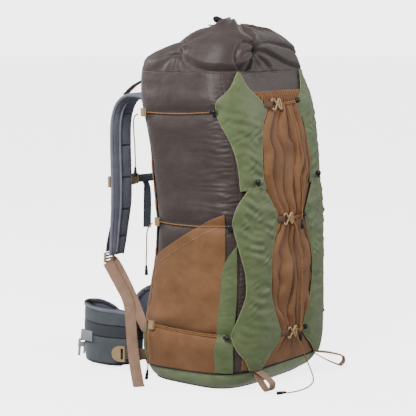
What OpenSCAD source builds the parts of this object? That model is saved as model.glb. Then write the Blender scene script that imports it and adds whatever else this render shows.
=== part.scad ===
// Soft-sided hunting backpack, standing on its base.
// Origin: centre of the base footprint, on the floor. +Z up, -Y the front with the
// big pocket, +Y the harness side against the wearer, -X the left flank seen from the front.

/* [Bag] */
// Height of the stuffed bag, collar included
bag_h = 788; // [740:1:830]
// Widest width of the bag
bag_w = 378; // [350:1:400]
// Deepest depth of the bag, front to back, at the lumbar swell
bag_d = 306; // [290:1:320]
// Squareness of the plan section, 2 is an ellipse and 6 is nearly a box
squareness = 4; // [3.5:0.1:4.5]
// Thickness of the bag's panels with their lining and seams
panel_t = 3; // [2.5:0.1:3]
// Thickness of the pocket cloth with its folds
pocket_t = 2; // [1.4:0.1:2]
// Height of the seam between base panel and walls at the back
base_seam_h = 30; // [26:1:34]
// Height of the seam between walls and collar
collar_seam_h = 690; // [680:1:700]

/* [Harness] */
// Thickness of the shoulder pads
pad_t = 14; // [10:1:15]
// Width of a shoulder pad at the chest
pad_w = 64; // [56:1:68]
// Thickness of the hip belt wings
wing_t = 14; // [11:1:15]
// Width of the main webbing
webbing_w = 25; // [20:1:27]
// Thickness of all webbing
webbing_t = 1.6; // [1.2:0.1:1.8]
// Width of the chest strap webbing
chest_w = 19; // [15:1:20]

/* [Cords] */
// Diameter of the compression cords
cord_d = 3; // [2.5:0.1:3.5]

/* [Hidden] */

// Colours of the cloths and fittings
DARK_NYLON = [0.24, 0.22, 0.21];
GREEN_NYLON = [0.42, 0.52, 0.33];
BROWN_STRETCH = [0.50, 0.34, 0.20];
TAN_WEBBING = [0.66, 0.54, 0.45];
TAN_PLASTIC = [0.76, 0.62, 0.42];
BLACK_PLASTIC = [0.12, 0.12, 0.13];
SLATE_FOAM = [0.33, 0.37, 0.41];
GREY_WEBBING = [0.22, 0.23, 0.25];
PALE_PLASTIC = [0.78, 0.79, 0.80];
CORD_BROWN = [0.58, 0.40, 0.20];
PLATE_PLASTIC = [0.80, 0.80, 0.78];
ALLOY = [0.75, 0.76, 0.78];

// Layers on the bag, measured outwards from its skin
POCKET_IN = 1.2;
WING_IN = 4.0;
WING_T = 1.8;
CORD_OFF = 10;
BIG = 1000;

// Stations of the bag from the floor up: height, half width, front and back depth,
// as drawn for a bag 788 high, 378 wide and 306 deep
DRAWN_H = 788;
DRAWN_W = 378;
DRAWN_D = 306;
STATIONS = [
    [0, 160, -90, 142], [18, 177, -122, 157], [45, 186, -136, 165], [100, 189, -141, 167],
    [230, 186, -143, 141], [350, 183, -139, 127], [480, 182, -130, 144],
    [600, 180, -114, 173], [660, 173, -97, 185], [700, 166, -86, 185],
    [735, 150, -80, 176], [760, 130, -66, 152], [778, 104, -46, 116],
    [786, 70, -26, 74], [788, 24, 2, 38]
];

// ---------------------------------------------------------------- the bag's skin
function scaled(s) = [s[0] * bag_h / DRAWN_H, s[1] * bag_w / DRAWN_W,
                      s[2] * bag_d / DRAWN_D, s[3] * bag_d / DRAWN_D];
ROWS = [for (s = STATIONS) scaled(s)];
LAST = len(ROWS) - 1;

function span_of(z, i = 0) = i >= LAST - 1 || z < ROWS[i + 1][0] ? i : span_of(z, i + 1);
function slope_at(i) =
    let (a = ROWS[max(i - 1, 0)], b = ROWS[min(i + 1, LAST)]) (b - a) / (b[0] - a[0]);
// A smooth curve through the stations
function station(z) =
    let (i = span_of(z), a = ROWS[i], b = ROWS[i + 1], h = b[0] - a[0], t = (z - a[0]) / h)
    (2 * t ^ 3 - 3 * t ^ 2 + 1) * a + (t ^ 3 - 2 * t ^ 2 + t) * h * slope_at(i)
    + (3 * t ^ 2 - 2 * t ^ 3) * b + (t ^ 3 - t ^ 2) * h * slope_at(i + 1);
function bare_skin(z, a) =
    let (s = station(z), half_d = (s[3] - s[2]) / 2, n = squareness,
         r = ((abs(cos(a)) / s[1]) ^ n + (abs(sin(a)) / half_d) ^ n) ^ (-1 / n))
    [r * cos(a), (s[2] + s[3]) / 2 + r * sin(a), z];
function unit(v) = v / norm(v);
function skin_out(z, a) =
    let (lo = max(z - 1, 0), hi = min(z + 1, bag_h))
    unit(cross(bare_skin(z, a + 1) - bare_skin(z, a - 1), bare_skin(hi, a) - bare_skin(lo, a)));
// A point on the bag at height z and bearing a (0 right, 90 back, 180 left, 270 front)
function skin(z, a, off = 0) = bare_skin(z, a) + off * skin_out(z, a);

// ---------------------------------------------------------------- mesh makers
function flat_list(rows) = [for (r = rows) each r];
function span(lo, hi, n) = [for (i = [0:n]) lo + (hi - lo) * i / n];

// A closed skin between two grids of points, rows upwards and columns along the bearing
module shell(outer, inner, closed = false, floor_cap = false) {
    rows = len(outer);
    cols = len(outer[0]);
    n = rows * cols;
    last = rows - 1;
    steps = closed ? cols - 1 : cols - 2;
    function out_at(i, j) = i * cols + j % cols;
    function in_at(i, j) = n + i * cols + j % cols;
    walls = [for (i = [0:rows - 2], j = [0:steps]) each [
        [out_at(i, j), out_at(i + 1, j), out_at(i + 1, j + 1)],
        [out_at(i, j), out_at(i + 1, j + 1), out_at(i, j + 1)],
        [in_at(i, j), in_at(i + 1, j + 1), in_at(i + 1, j)],
        [in_at(i, j), in_at(i, j + 1), in_at(i + 1, j + 1)]]];
    top_rim = [for (j = [0:steps]) each [
        [out_at(last, j + 1), out_at(last, j), in_at(last, j)],
        [out_at(last, j + 1), in_at(last, j), in_at(last, j + 1)]]];
    low_rim = floor_cap
        ? [[for (j = [0:cols - 1]) out_at(0, j)], [for (j = [cols - 1:-1:0]) in_at(0, j)]]
        : [for (j = [0:steps]) each [
            [out_at(0, j), out_at(0, j + 1), in_at(0, j + 1)],
            [out_at(0, j), in_at(0, j + 1), in_at(0, j)]]];
    end = cols - 1;
    sides = closed ? [] : [for (i = [0:rows - 2]) each [
        [out_at(i + 1, 0), out_at(i, 0), in_at(i, 0)],
        [out_at(i + 1, 0), in_at(i, 0), in_at(i + 1, 0)],
        [out_at(i, end), out_at(i + 1, end), in_at(i + 1, end)],
        [out_at(i, end), in_at(i + 1, end), in_at(i, end)]]];
    polyhedron(concat(flat_list(outer), flat_list(inner)), concat(walls, top_rim, low_rim, sides));
}

// A cloth panel on the bag: heights zs, and its left and right bearings from two functions
module cloth(zs, from, to, cols, low, thick) {
    function grid(off) = [for (z = zs) [for (t = span(0, 1, cols))
        skin(z, from(z) + (to(z) - from(z)) * t, off)]];
    shell(grid(low + thick), grid(low));
}

// Smooth curve through a list of points, with a few steps for each
function smooth(p, steps = 4) =
    let (n = len(p) - 1)
    [for (i = [0:n - 1], k = [0:steps - 1])
        let (t = k / steps, a = p[max(i - 1, 0)], b = p[i], c = p[i + 1], d = p[min(i + 2, n)])
        0.5 * (2 * b + (c - a) * t + (2 * a - 5 * b + 4 * c - d) * t ^ 2
               + (3 * b - a - 3 * c + d) * t ^ 3),
     p[n]];
function run_of(p, i) = unit(p[min(i + 1, len(p) - 1)] - p[max(i - 1, 0)]);

// A flat strap along points p, with its width along the vectors across(i)
module strap(p, widths, across, thick) {
    function edge(i, side, lift) =
        let (w0 = across(i), t = run_of(p, i), w = unit(w0 - (w0 * t) * t), n = unit(cross(w, t)))
        p[i] + w * side * widths(i) / 2 + n * lift * thick / 2;
    function grid(lift) = [for (i = [0:len(p) - 1]) [edge(i, -1, lift), edge(i, 0, lift), edge(i, 1, lift)]];
    shell(grid(1), grid(-1));
}

// A round cord along points p
module cord(p, d = cord_d, sides = 8) {
    n = len(p);
    first = run_of(p, 0);
    side0 = unit(cross(first, abs(first[2]) < 0.9 ? [0, 0, 1] : [1, 0, 0]));
    us = [for (i = 0, u = side0; i < n; i = i + 1,
               u = i < n ? unit(u - (u * run_of(p, i)) * run_of(p, i)) : u) u];
    pts = [for (i = [0:n - 1], k = [0:sides - 1])
        let (a = 360 * k / sides, v = cross(run_of(p, i), us[i]))
        p[i] + d / 2 * (cos(a) * us[i] + sin(a) * v)];
    walls = [for (i = [0:n - 2], k = [0:sides - 1])
        let (a = i * sides + k, b = i * sides + (k + 1) % sides) each [
        [a, a + sides, b + sides], [a, b + sides, b]]];
    ends = [[for (k = [0:sides - 1]) k], [for (k = [sides - 1:-1:0]) (n - 1) * sides + k]];
    polyhedron(pts, concat(walls, ends));
}

// Children placed on the bag: x along the bearing, y up the skin, z straight out
module on_skin(z, a, off = 0) {
    n = skin_out(z, a);
    x = unit(cross([0, 0, 1], n));
    y = cross(n, x);
    p = skin(z, a, off);
    multmatrix([[x[0], y[0], n[0], p[0]], [x[1], y[1], n[1], p[1]], [x[2], y[2], n[2], p[2]]])
        children();
}

// Children placed at p with x along dir and z nearest to up
module along(p, dir, up = [0, 0, 1]) {
    x = unit(dir);
    z = unit(up - (up * x) * x);
    y = cross(z, x);
    multmatrix([[x[0], y[0], z[0], p[0]], [x[1], y[1], z[1], p[1]], [x[2], y[2], z[2], p[2]]])
        children();
}

module both_sides() {
    children();
    mirror([1, 0, 0]) children();
}

module plate(x, y, z) translate([-x / 2, -y / 2, 0]) cube([x, y, z]);

// ---------------------------------------------------------------- bag panels
SIDE_FROM = 147;
SIDE_TO = 217;
SEAM_GAP = 0.15;
FRONT_SEAM_RISE = 17;
WALL_ROWS = 18;

// The base seam climbs a little towards the front
function base_seam(a) = base_seam_h + FRONT_SEAM_RISE * (1 - sin(a)) / 2;

// A wall panel from the base seam to the collar seam
module wall_panel(from, to, cols) {
    bearings = span(from + SEAM_GAP, to - SEAM_GAP, cols);
    function row(t, off) = [for (a = bearings)
        skin(base_seam(a) + 1 + (collar_seam_h - 1 - base_seam(a)) * t, a, off)];
    function grid(off) = [for (t = span(0, 1, WALL_ROWS)) row(t, off)];
    shell(grid(0), grid(-panel_t));
}

module base_panel() {
    bearings = span(0, 360, 60);
    ring = [for (i = [0:len(bearings) - 2]) bearings[i]];
    function floor_row(off) = [for (a = ring)
        let (p = bare_skin(0, a)) [p[0] * (1 - off / 160), p[1] * (1 - off / 160), off]];
    function side_row(t, off) = [for (a = ring) skin(base_seam(a) * t, a, off)];
    color(GREEN_NYLON) shell(
        concat([floor_row(0)], [for (t = [0.2, 0.4, 0.7, 1]) side_row(t, 0)]),
        concat([floor_row(panel_t)], [for (t = [0.2, 0.4, 0.7, 1]) side_row(t, -panel_t)]),
        closed = true, floor_cap = true);
}

module side_panel_left() color(DARK_NYLON) wall_panel(SIDE_FROM, SIDE_TO, 10);
module side_panel_right() color(DARK_NYLON) mirror([1, 0, 0]) wall_panel(SIDE_FROM, SIDE_TO, 10);
module front_panel() color(DARK_NYLON) wall_panel(SIDE_TO, 540 - SIDE_TO, 12);
module back_panel() color(SLATE_FOAM) wall_panel(180 - SIDE_FROM, SIDE_FROM, 12);

// The stuffed roll of cloth above the walls, drawn in to a small mouth
COLLAR_RISE = [0, 0.2, 0.45, 0.7, 0.88, 0.97, 1];
module collar() {
    ring = [for (i = [0:47]) i * 7.5];
    function grid(off) = [for (t = COLLAR_RISE) [for (a = ring)
        skin(collar_seam_h + 1 + (bag_h - collar_seam_h - 1) * t, a, off)]];
    color(DARK_NYLON) shell(grid(0), grid(-panel_t), closed = true);
}

// Corded piping laid over the base seam
module base_piping() {
    ring = [for (i = [0:59]) i * 6];
    function row(rise, off) = [for (a = ring) skin(base_seam(a) + rise * PIPING_HALF, a, off)];
    color(BLACK_PLASTIC) shell([row(-1, 2.6), row(1, 2.6)], [row(-1, 0.6), row(1, 0.6)], closed = true);
}

// ---------------------------------------------------------------- pockets and bands
BAND_BACK = 206;
BAND_FRONT = 217;
BAND_TOP = 330;
PIPING_HALF = 1.5;
POCKET_DROP = 118;
POCKET_HEM = 394;
FRONT_POCKET_TOP = 646;
FRONT_POCKET_LOW = 50;
FRONT_POCKET_EDGE = 222;

// The side pocket's mouth slopes down towards the harness
function pocket_mouth(a) =
    POCKET_HEM - POCKET_DROP * ((BAND_BACK + 5 - a) / (BAND_BACK + 5 - SIDE_FROM)) ^ 1.25;
module side_pocket_shape() {
    bearings = span(SIDE_FROM + 1, BAND_BACK - 0.5, 10);
    function grid(off) = [for (t = span(0, 1, 10)) [for (a = bearings)
        let (low = base_seam(a) + PIPING_HALF + 1)
        skin(low + (pocket_mouth(a) - low) * t, a, off)]];
    shell(grid(POCKET_IN + pocket_t), grid(POCKET_IN));
}
module side_pocket_left() color(BROWN_STRETCH) side_pocket_shape();
module side_pocket_right() color(BROWN_STRETCH) mirror([1, 0, 0]) side_pocket_shape();

// Green band sewn down the flank between the pocket and the gathered strip
module side_bands() {
    color(GREEN_NYLON) both_sides() cloth(span(50, BAND_TOP, 8), function(z) BAND_BACK,
        function(z) BAND_FRONT - 4 * (z / BAND_TOP) ^ 2, 3, POCKET_IN, pocket_t);
}

module front_pocket() {
    color(BROWN_STRETCH) cloth(span(FRONT_POCKET_LOW, FRONT_POCKET_TOP, 16),
        function(z) FRONT_POCKET_EDGE, function(z) 540 - FRONT_POCKET_EDGE, 12, POCKET_IN, pocket_t);
}

// The two shaped green wings on each front corner: height, outer and inner bearing.
// The lower wing lies over the upper one at the waist.
UPPER_WING = [
    [440, 218, 238], [470, 218, 236], [507, 217.5, 236.5], [545, 215.5, 238.5], [577, 212, 241],
    [600, 210.4, 246.5], [614, 210.4, 247.5], [630, 212.5, 242.5], [655, 221, 234], [689, 227.5, 229]
];
LOWER_WING = [
    [50, 226.5, 235], [74, 223.5, 242], [95, 219, 250], [117, 216, 254.9], [135, 215, 252],
    [172, 218, 246], [215, 220.8, 241], [260, 220, 240.5], [300, 216.6, 241.3],
    [340, 213.4, 245], [368, 211.9, 248.9], [385, 212.5, 247], [410, 215.5, 242], [446, 224, 234]
];
module wing_cloth(outline, low) {
    fine = smooth(outline, 2);
    cols = span(0, 1, 5);
    function row(w, off) = [for (t = cols) skin(w[0], w[1] + (w[2] - w[1]) * t, off)];
    function grid(off) = [for (w = fine) row(w, off)];
    shell(grid(low + WING_T), grid(low));
}
module front_wing() {
    wing_cloth(UPPER_WING, WING_IN);
    wing_cloth(LOWER_WING, WING_IN + WING_T + 0.4);
}
module front_wing_left() color(GREEN_NYLON) front_wing();
module front_wing_right() color(GREEN_NYLON) mirror([1, 0, 0]) front_wing();

// ---------------------------------------------------------------- frame and pads
SHEET_W = 200;
SHEET_T = 2;
SHEET_LOW = 60;
SHEET_TOP = 620;
SHEET_IN = 11;
STAY_W = 14;
STAY_T = 3;

// A plate bent to the line of the back, as a bar drawn in the side view
module bent_plate(width, thick, low, top, depth) {
    heights = span(low, top, 14);
    back = [for (z = heights) [station(z)[3] - depth, z]];
    face = [for (i = [len(heights) - 1:-1:0]) [station(heights[i])[3] - depth - thick, heights[i]]];
    translate([-width / 2, 0, 0]) rotate([90, 0, 90]) linear_extrude(width) polygon(concat(back, face));
}
module frame_sheet() color(PLATE_PLASTIC) bent_plate(SHEET_W, SHEET_T, SHEET_LOW, SHEET_TOP, SHEET_IN);
module frame_stay() {
    color(ALLOY) bent_plate(STAY_W, STAY_T, SHEET_LOW + 10, SHEET_TOP - 10, SHEET_IN + SHEET_T + 0.6);
}

module back_pad() {
    color(SLATE_FOAM) cloth(span(165, 560, 10), function(z) 52, function(z) 128, 8, POCKET_IN, 12);
}
module lumbar_pad() {
    color(SLATE_FOAM) cloth(span(36, 155, 5), function(z) 62, function(z) 118, 6, POCKET_IN, 16);
}

// ---------------------------------------------------------------- hip belt
// Middle line of the left wing in plan, with the heights of its lower and upper edge
HIP_LINE = [
    [-118, 182, 22, 118], [-140, 200, 12, 132], [-158, 228, 7, 139], [-166, 262, 5, 140],
    [-165, 298, 5, 142], [-150, 332, 6, 144], [-118, 352, 12, 142], [-76, 354, 24, 134],
    [-40, 348, 42, 116], [-22, 342, 62, 98]
];
HIP_ROWS = 6;
module hip_wing() {
    line = smooth(HIP_LINE, 3);
    plan = [for (p = line) [p[0], p[1], 0]];
    last = len(line) - 1;
    function thick(i) = wing_t * min(1, 0.55 + 0.12 * min(i, last - i));
    function crown(t) = 0.6 + 0.4 * sin(180 * t);
    function at(i, t, side) =
        let (inwards = cross(run_of(plan, i), [0, 0, 1]))
        plan[i] + [0, 0, line[i][2] + (line[i][3] - line[i][2]) * t]
        + inwards * side * thick(i) / 2 * crown(t);
    function grid(side) = [for (t = span(0, 1, HIP_ROWS)) [for (i = [0:last]) at(i, t, side)]];
    shell(grid(1), grid(-1));
}
module hip_wing_left() color(SLATE_FOAM) hip_wing();
module hip_wing_right() color(SLATE_FOAM) mirror([1, 0, 0]) hip_wing();

// Webbing sewn to the outside of the wing, which carries half of the hip buckle
HIP_WEB = [[-175.5, 292, 72], [-168, 320, 70], [-156, 344, 67], [-138, 361, 62], [-123, 368, 57],
           [-118, 371, 50]];
module hip_webbing() {
    line = smooth(HIP_WEB, 3);
    strap(line, function(i) webbing_w, function(i) [0, -0.25 * i / len(line), 1], webbing_t);
}
module hip_webbing_left() color(PALE_PLASTIC) hip_webbing();
module hip_webbing_right() color(PALE_PLASTIC) mirror([1, 0, 0]) hip_webbing();

BUCKLE_AT = [-115, 374, 20];
BUCKLE_UP = [0.02, -0.12, 1];
module hip_buckle_plug() {
    color(PALE_PLASTIC) along(BUCKLE_AT, BUCKLE_UP, [0.35, 0.94, 0]) {
        difference() {
            translate([6, -17, -3]) cube([20, 34, 6]);
            translate([17, -13, -4]) cube([5, 26, 8]);
        }
        for (y = [-13, 13]) translate([-16, y - 2.5, -2]) cube([23, 5, 4]);
        translate([-12, -2, -2]) cube([19, 4, 4]);
    }
}
module hip_buckle_socket() {
    color(PALE_PLASTIC) mirror([1, 0, 0]) along(BUCKLE_AT, BUCKLE_UP, [0.35, 0.94, 0])
        difference() {
            translate([-14, -18, -5]) cube([40, 36, 10]);
            translate([-15, -15, -3]) cube([25, 30, 6]);
            translate([17, -13, -6]) cube([5, 26, 12]);
        }
}

// Half-round ring sewn on the wing, and the strap that pulls the wing to the bag's corner
RING_AT = [-166, 216, 41];
RING_RUN = [-12, 30, 0];
RING_OUT = [-30, -12, 0];
module stabiliser_ring() {
    along(RING_AT, RING_RUN, RING_OUT) difference() {
        union() {
            cylinder(h = 4, r = 18, $fn = 48);
            translate([-14, -18, 0]) cube([14, 36, 4]);
        }
        translate([-10, -13, -1]) cube([6, 26, 6]);
        translate([-BIG - 14, -BIG / 2, -1]) cube([BIG, BIG, 6]);
    }
}
module stabiliser_ring_left() color(TAN_PLASTIC) stabiliser_ring();
module stabiliser_ring_right() color(TAN_PLASTIC) mirror([1, 0, 0]) stabiliser_ring();

STABILISER = [[-176, 126, 55], [-174, 150, 52], [-169.5, 176, 47], [-165.5, 199, 43]];
module stabiliser_strap() {
    strap(smooth(STABILISER, 3), function(i) webbing_w, function(i) [0, 0, 1], webbing_t);
}
module stabiliser_strap_left() color(BROWN_STRETCH) stabiliser_strap();
module stabiliser_strap_right() color(BROWN_STRETCH) mirror([1, 0, 0]) stabiliser_strap();

// ---------------------------------------------------------------- shoulder harness
PAD_LINE = [
    [-62, 190, 618], [-66, 215, 628], [-70, 248, 628], [-74, 272, 608], [-78, 283, 570],
    [-83, 281, 515], [-86.5, 277, 470], [-90, 273, 415], [-92, 273, 370], [-94, 277, 325],
    [-95, 281, 285], [-96, 285, 256]
];
PAD_STEPS = 3;
module shoulder_strap() {
    line = smooth(PAD_LINE, PAD_STEPS);
    last = len(line) - 1;
    function width(i) = let (t = i / last)
        pad_w * (t < 0.2 ? 0.72 + 1.4 * t : t < 0.7 ? 1 : 1 - 1.1 * (t - 0.7));
    function at(i, side, lift) =
        let (t = run_of(line, i), w = unit([1, 0, 0] - t[0] * t), n = cross(w, t),
             edge = abs(side) == 1 ? 0.55 : 1)
        line[i] + w * side * width(i) / 2 + n * lift * pad_t / 2 * edge;
    function grid(lift) = [for (i = [0:last]) [for (side = [-1, -0.8, 0, 0.8, 1]) at(i, side, lift)]];
    shell(grid(1), grid(-1));
}
module shoulder_strap_left() color(SLATE_FOAM) shoulder_strap();
module shoulder_strap_right() color(SLATE_FOAM) mirror([1, 0, 0]) shoulder_strap();

// Grey webbing down the outside of each pad to its ladder lock
PAD_WEB = [[-87.5, 286, 466], [-91, 282, 415], [-93.5, 283, 360], [-96, 294, 320], [-98, 302, 285],
           [-99, 305, 262]];
module shoulder_webbing() {
    color(GREY_WEBBING) both_sides()
        strap(smooth(PAD_WEB, 3), function(i) webbing_w, function(i) [1, 0, 0], webbing_t);
}

LOCK_AT = [-99.5, 305, 248];
LOCK_UP = [0.02, -0.05, 1];
module ladder_locks() {
    color(TAN_PLASTIC) both_sides() along(LOCK_AT, LOCK_UP, [0, 1, 0]) difference() {
        translate([-12, -16, -3]) cube([24, 32, 6]);
        for (x = [-8, -1, 6]) translate([x, -13, -4]) cube([3.6, 26, 8]);
    }
}

// Short straps from the top of the pads up to the bag
LIFTER = [[-70, 276, 630], [-70, 250, 650], [-70, 225, 662], [-70, 200, 672], [-70, 189, 678]];
module load_lifters() {
    color(TAN_WEBBING) both_sides()
        strap(smooth(LIFTER, 2), function(i) 20, function(i) [1, 0, 0], webbing_t);
}

// Straps from the bag's lower corners up to the ladder locks
LOWER_STRAP = [[-178, 129, 118], [-171.5, 144, 131], [-150, 186, 166], [-122, 242, 208], [-103, 284, 236],
               [-100.5, 297.5, 240.5]];
LOWER_ACROSS = [0.57, -0.6, 0.56];
ROOT_ACROSS = [-0.2, -0.1, 1];
module lower_straps() {
    color(TAN_WEBBING) both_sides()
        strap(smooth(LOWER_STRAP, 3), function(i) webbing_w,
              function(i) LOWER_ACROSS + (ROOT_ACROSS - LOWER_ACROSS) * max(0, 1 - i / 6), webbing_t);
}

// The loose end of each lower strap falls past the hip wing to the floor
STRAP_TAIL = [
    [-113, 297, 238], [-122, 278, 226], [-132, 254, 209], [-143, 228, 191], [-154, 204, 174],
    [-165, 186, 157], [-175, 174, 137], [-183, 165, 115], [-190, 157, 92], [-198, 147, 68],
    [-207, 135, 45], [-217, 122, 25], [-227, 109, 10], [-237, 98, 3], [-245, 88, 2]
];
TAIL_ACROSS = [0.62, -0.59, 0.45];
TAIL_ACROSS_LOW = [0.62, -0.78, 0];
module strap_tail() {
    line = smooth(STRAP_TAIL, 2);
    last = len(line) - 1;
    strap(line, function(i) webbing_w,
          function(i) TAIL_ACROSS + (TAIL_ACROSS_LOW - TAIL_ACROSS) * i / last, webbing_t);
}
module strap_tail_left() color(TAN_WEBBING) strap_tail();
module strap_tail_right() color(TAN_WEBBING) mirror([1, 0, 0]) strap_tail();

// ---------------------------------------------------------------- chest strap
CHEST_Z = 428;
CHEST_Y = 291;
SLIDER_X = 106;
// The buckle sits left of the middle, as the strap is drawn up on one side
CHEST_BUCKLE_X = -27;
CHEST_TAIL = [[14, 293, 424], [24, 295, 412], [28, 295, 395], [27, 294, 365], [25, 293, 335], [23, 292, 306]];
module chest_sliders() {
    color(TAN_PLASTIC) for (x = [-SLIDER_X, SLIDER_X])
        translate([x, CHEST_Y, CHEST_Z]) rotate([90, 0, 0]) difference() {
            translate([-8, -13, -3]) cube([16, 26, 6]);
            translate([-3, -10, -4]) cube([6, 20, 8]);
        }
}
module chest_webbing() {
    color(GREY_WEBBING) {
        translate([-SLIDER_X + 9, CHEST_Y - webbing_t / 2, CHEST_Z - chest_w / 2])
            cube([SLIDER_X + CHEST_BUCKLE_X - 9 - 16, webbing_t, chest_w]);
        translate([CHEST_BUCKLE_X + 16, CHEST_Y - webbing_t / 2, CHEST_Z - chest_w / 2])
            cube([SLIDER_X - CHEST_BUCKLE_X - 9 - 16, webbing_t, chest_w]);
        strap(smooth(CHEST_TAIL, 3), function(i) chest_w,
              function(i) i < 6 ? [0.2 + 0.1 * i, 0, 1 - 0.16 * i] : [1, 0, 0], webbing_t);
    }
}
module chest_buckle() {
    color(TAN_PLASTIC) translate([CHEST_BUCKLE_X, CHEST_Y, CHEST_Z]) rotate([90, 0, 0]) {
        difference() {
            translate([-15, -13, -4]) cube([18, 26, 8]);
            translate([-11, -10, -5]) cube([4, 20, 10]);
        }
        difference() {
            translate([3.2, -12, -3.5]) cube([11.8, 24, 7]);
            translate([8, -10, -5]) cube([4, 20, 10]);
        }
    }
}

// ---------------------------------------------------------------- loops and fittings
HAUL_W = 20;
HAUL_LOW = 663;
HAUL_HALF = 45;
HAUL_OUT = 26;
// Carrying loop on the back, sewn down at its two ends, with room for a hand behind it
module haul_loop() {
    back_y = station(HAUL_LOW + HAUL_W)[3] + 1.5;
    color(TAN_WEBBING) translate([0, back_y, HAUL_LOW]) linear_extrude(HAUL_W) difference() {
        scale([HAUL_HALF / HAUL_OUT, 1]) circle(r = HAUL_OUT, $fn = 48);
        scale([(HAUL_HALF - 3) / HAUL_OUT, (HAUL_OUT - 3) / HAUL_OUT]) circle(r = HAUL_OUT, $fn = 48);
        translate([-BIG / 2, -BIG]) square(BIG);
    }
}

// Webbing loops at the front corners of the base, lying out on the floor
LOOP_W = 22;
module loop_outline(long, high) {
    difference() {
        offset(r = webbing_t) loop_core(long, high);
        loop_core(long, high);
    }
}
module loop_core(long, high) {
    hull() {
        circle(r = 3, $fn = 32);
        translate([long, 0]) circle(r = high / 2, $fn = 32);
    }
}
LOOP_LEFT_AT = [-114, -136, 46];
LOOP_RIGHT_AT = [114, -136, 46];
module tool_loops() {
    color(TAN_WEBBING) {
        translate(LOOP_LEFT_AT) rotate([0, 0, -128]) rotate([0, 34, 0]) rotate([90, 0, 0])
            translate([8, 0, -LOOP_W / 2]) linear_extrude(LOOP_W) loop_outline(34, 26);
        translate(LOOP_RIGHT_AT) rotate([0, 0, -38]) rotate([0, 20, 0]) rotate([90, 0, 0])
            translate([8, 0, -LOOP_W / 2]) linear_extrude(LOOP_W) loop_outline(56, 24);
    }
}

// Heights and bearings of the fittings at the two ends of the side cords
SIDE_LOCKS = [[600, 150], [360, 151], [129, 155]];
SIDE_ANCHORS = [[607, 209], [366, 209.5], [128, 212.5]];
FRONT_TAB_FROM = [[617, 247], [371, 249.5], [117, 255.5]];
FRONT_LOCKS = [[621, 291.5], [373, 287.5], [119, 287]];
WAIST_LOCK = [456, 229];

module line_locs() {
    color(TAN_PLASTIC) both_sides() for (s = SIDE_LOCKS) on_skin(s[0], s[1], 4.6) difference() {
        translate([-8, -9, 0]) cube([16, 18, 6]);
        translate([-4, -10, 1.6]) cube([3, 20, 3]);
        translate([2, -10, 1.6]) cube([3, 20, 3]);
    }
}
// Small round cord guides sewn on at the wings' edges
module guide() {
    difference() {
        union() {
            plate(10, 8, 4);
            translate([0, 0, 4]) rotate([0, 90, 0]) translate([0, 0, -5]) cylinder(h = 10, r = 4, $fn = 32);
        }
        translate([-6, -1, 3]) cube([12, 2, 2]);
    }
}
module cord_anchors() {
    color(BLACK_PLASTIC) {
        both_sides() for (s = SIDE_ANCHORS) on_skin(s[0], s[1], 8.6) guide();
        both_sides() on_skin(WAIST_LOCK[0], WAIST_LOCK[1], 8.6) guide();
        for (s = FRONT_LOCKS) on_skin(s[0], s[1], 8.6) guide();
    }
}

TAB_W = 13;
module front_tabs() {
    color(BROWN_STRETCH) for (s = FRONT_TAB_FROM)
        on_skin(s[0], s[1] + 2.2, 8.8) plate(20, TAB_W, webbing_t);
}
// Flat double-ended hooks that join tab and cord, drawn as one outline
HOOK = [
    [-15, 10], [-12, 12], [0, 3.6], [10, 11], [15, 11], [15, -11], [10, -11], [0, -3.6],
    [-12, -12], [-15, -10], [-4, 0]
];
module front_hooks() {
    color(TAN_PLASTIC) for (s = FRONT_TAB_FROM) on_skin(s[0] - 1, s[1] + 12.5, 8.8)
        linear_extrude(3.2) difference() {
            polygon(HOOK);
            translate([7.5, 0]) square([5, 12], center = true);
        }
}

// ---------------------------------------------------------------- cords
// Two strands between a side lock and its anchor, laid over the bag
module side_strand(a, b, gap) {
    points = [for (t = span(0.06, 0.965, 16))
        skin(a[0] + (b[0] - a[0]) * t + gap, a[1] + (b[1] - a[1]) * t, CORD_OFF - 2)];
    cord(points);
}
module side_cords() {
    color(CORD_BROWN) both_sides() for (k = [0:2]) for (gap = k == 2 ? [-1.8, 1.8] : [0])
        side_strand(SIDE_LOCKS[k], SIDE_ANCHORS[k], gap);
}
module front_cords() {
    color(CORD_BROWN) for (k = [0:2]) {
        a = [FRONT_TAB_FROM[k][0], FRONT_TAB_FROM[k][1] + 19.5];
        b = [FRONT_LOCKS[k][0], FRONT_LOCKS[k][1] - 2.2];
        cord([for (t = span(0, 1, 5)) skin(a[0] + (b[0] - a[0]) * t, a[1] + (b[1] - a[1]) * t, CORD_OFF + 1)]);
    }
}

module collar_drawcord() {
    bearings = span(0, 360, 48);
    mouth = bag_h - 1;
    loop = [for (i = [0:46]) skin(mouth, 100 + bearings[i], 2.4)];
    color(CORD_BROWN) cord(loop, cord_d);
}

// Spring cord lock that holds the collar's drawcord shut
COLLAR_LOCK_AT = [0, 48, 797];
LOCK_TILT = 20;
module lock_frame() translate(COLLAR_LOCK_AT) rotate([-90 + LOCK_TILT, 0, 0]) children();
module cord_lock_body() {
    color(BLACK_PLASTIC) lock_frame() difference() {
        cylinder(h = 18, r = 7.5, $fn = 48);
        translate([0, 0, 2]) cylinder(h = 20, r = 5.2, $fn = 48);
        translate([0, 0, 9]) rotate([0, 90, 0]) cylinder(h = 20, r = 2.2, center = true, $fn = 32);
    }
}
module cord_lock_button() {
    color(BLACK_PLASTIC) lock_frame() difference() {
        translate([0, 0, 9]) cylinder(h = 14, r = 4.9, $fn = 48);
        translate([0, 0, 11.6]) rotate([0, 90, 0]) cylinder(h = 20, r = 2.2, center = true, $fn = 32);
    }
}
module cord_lock_spring() {
    turns = 4;
    helix = [for (t = span(0, 360 * turns, 14 * turns)) [3.4 * cos(t), 3.4 * sin(t), 2.7 + 5.4 * t / (360 * turns)]];
    color(ALLOY) lock_frame() cord(helix, 0.8, 8);
}

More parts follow.
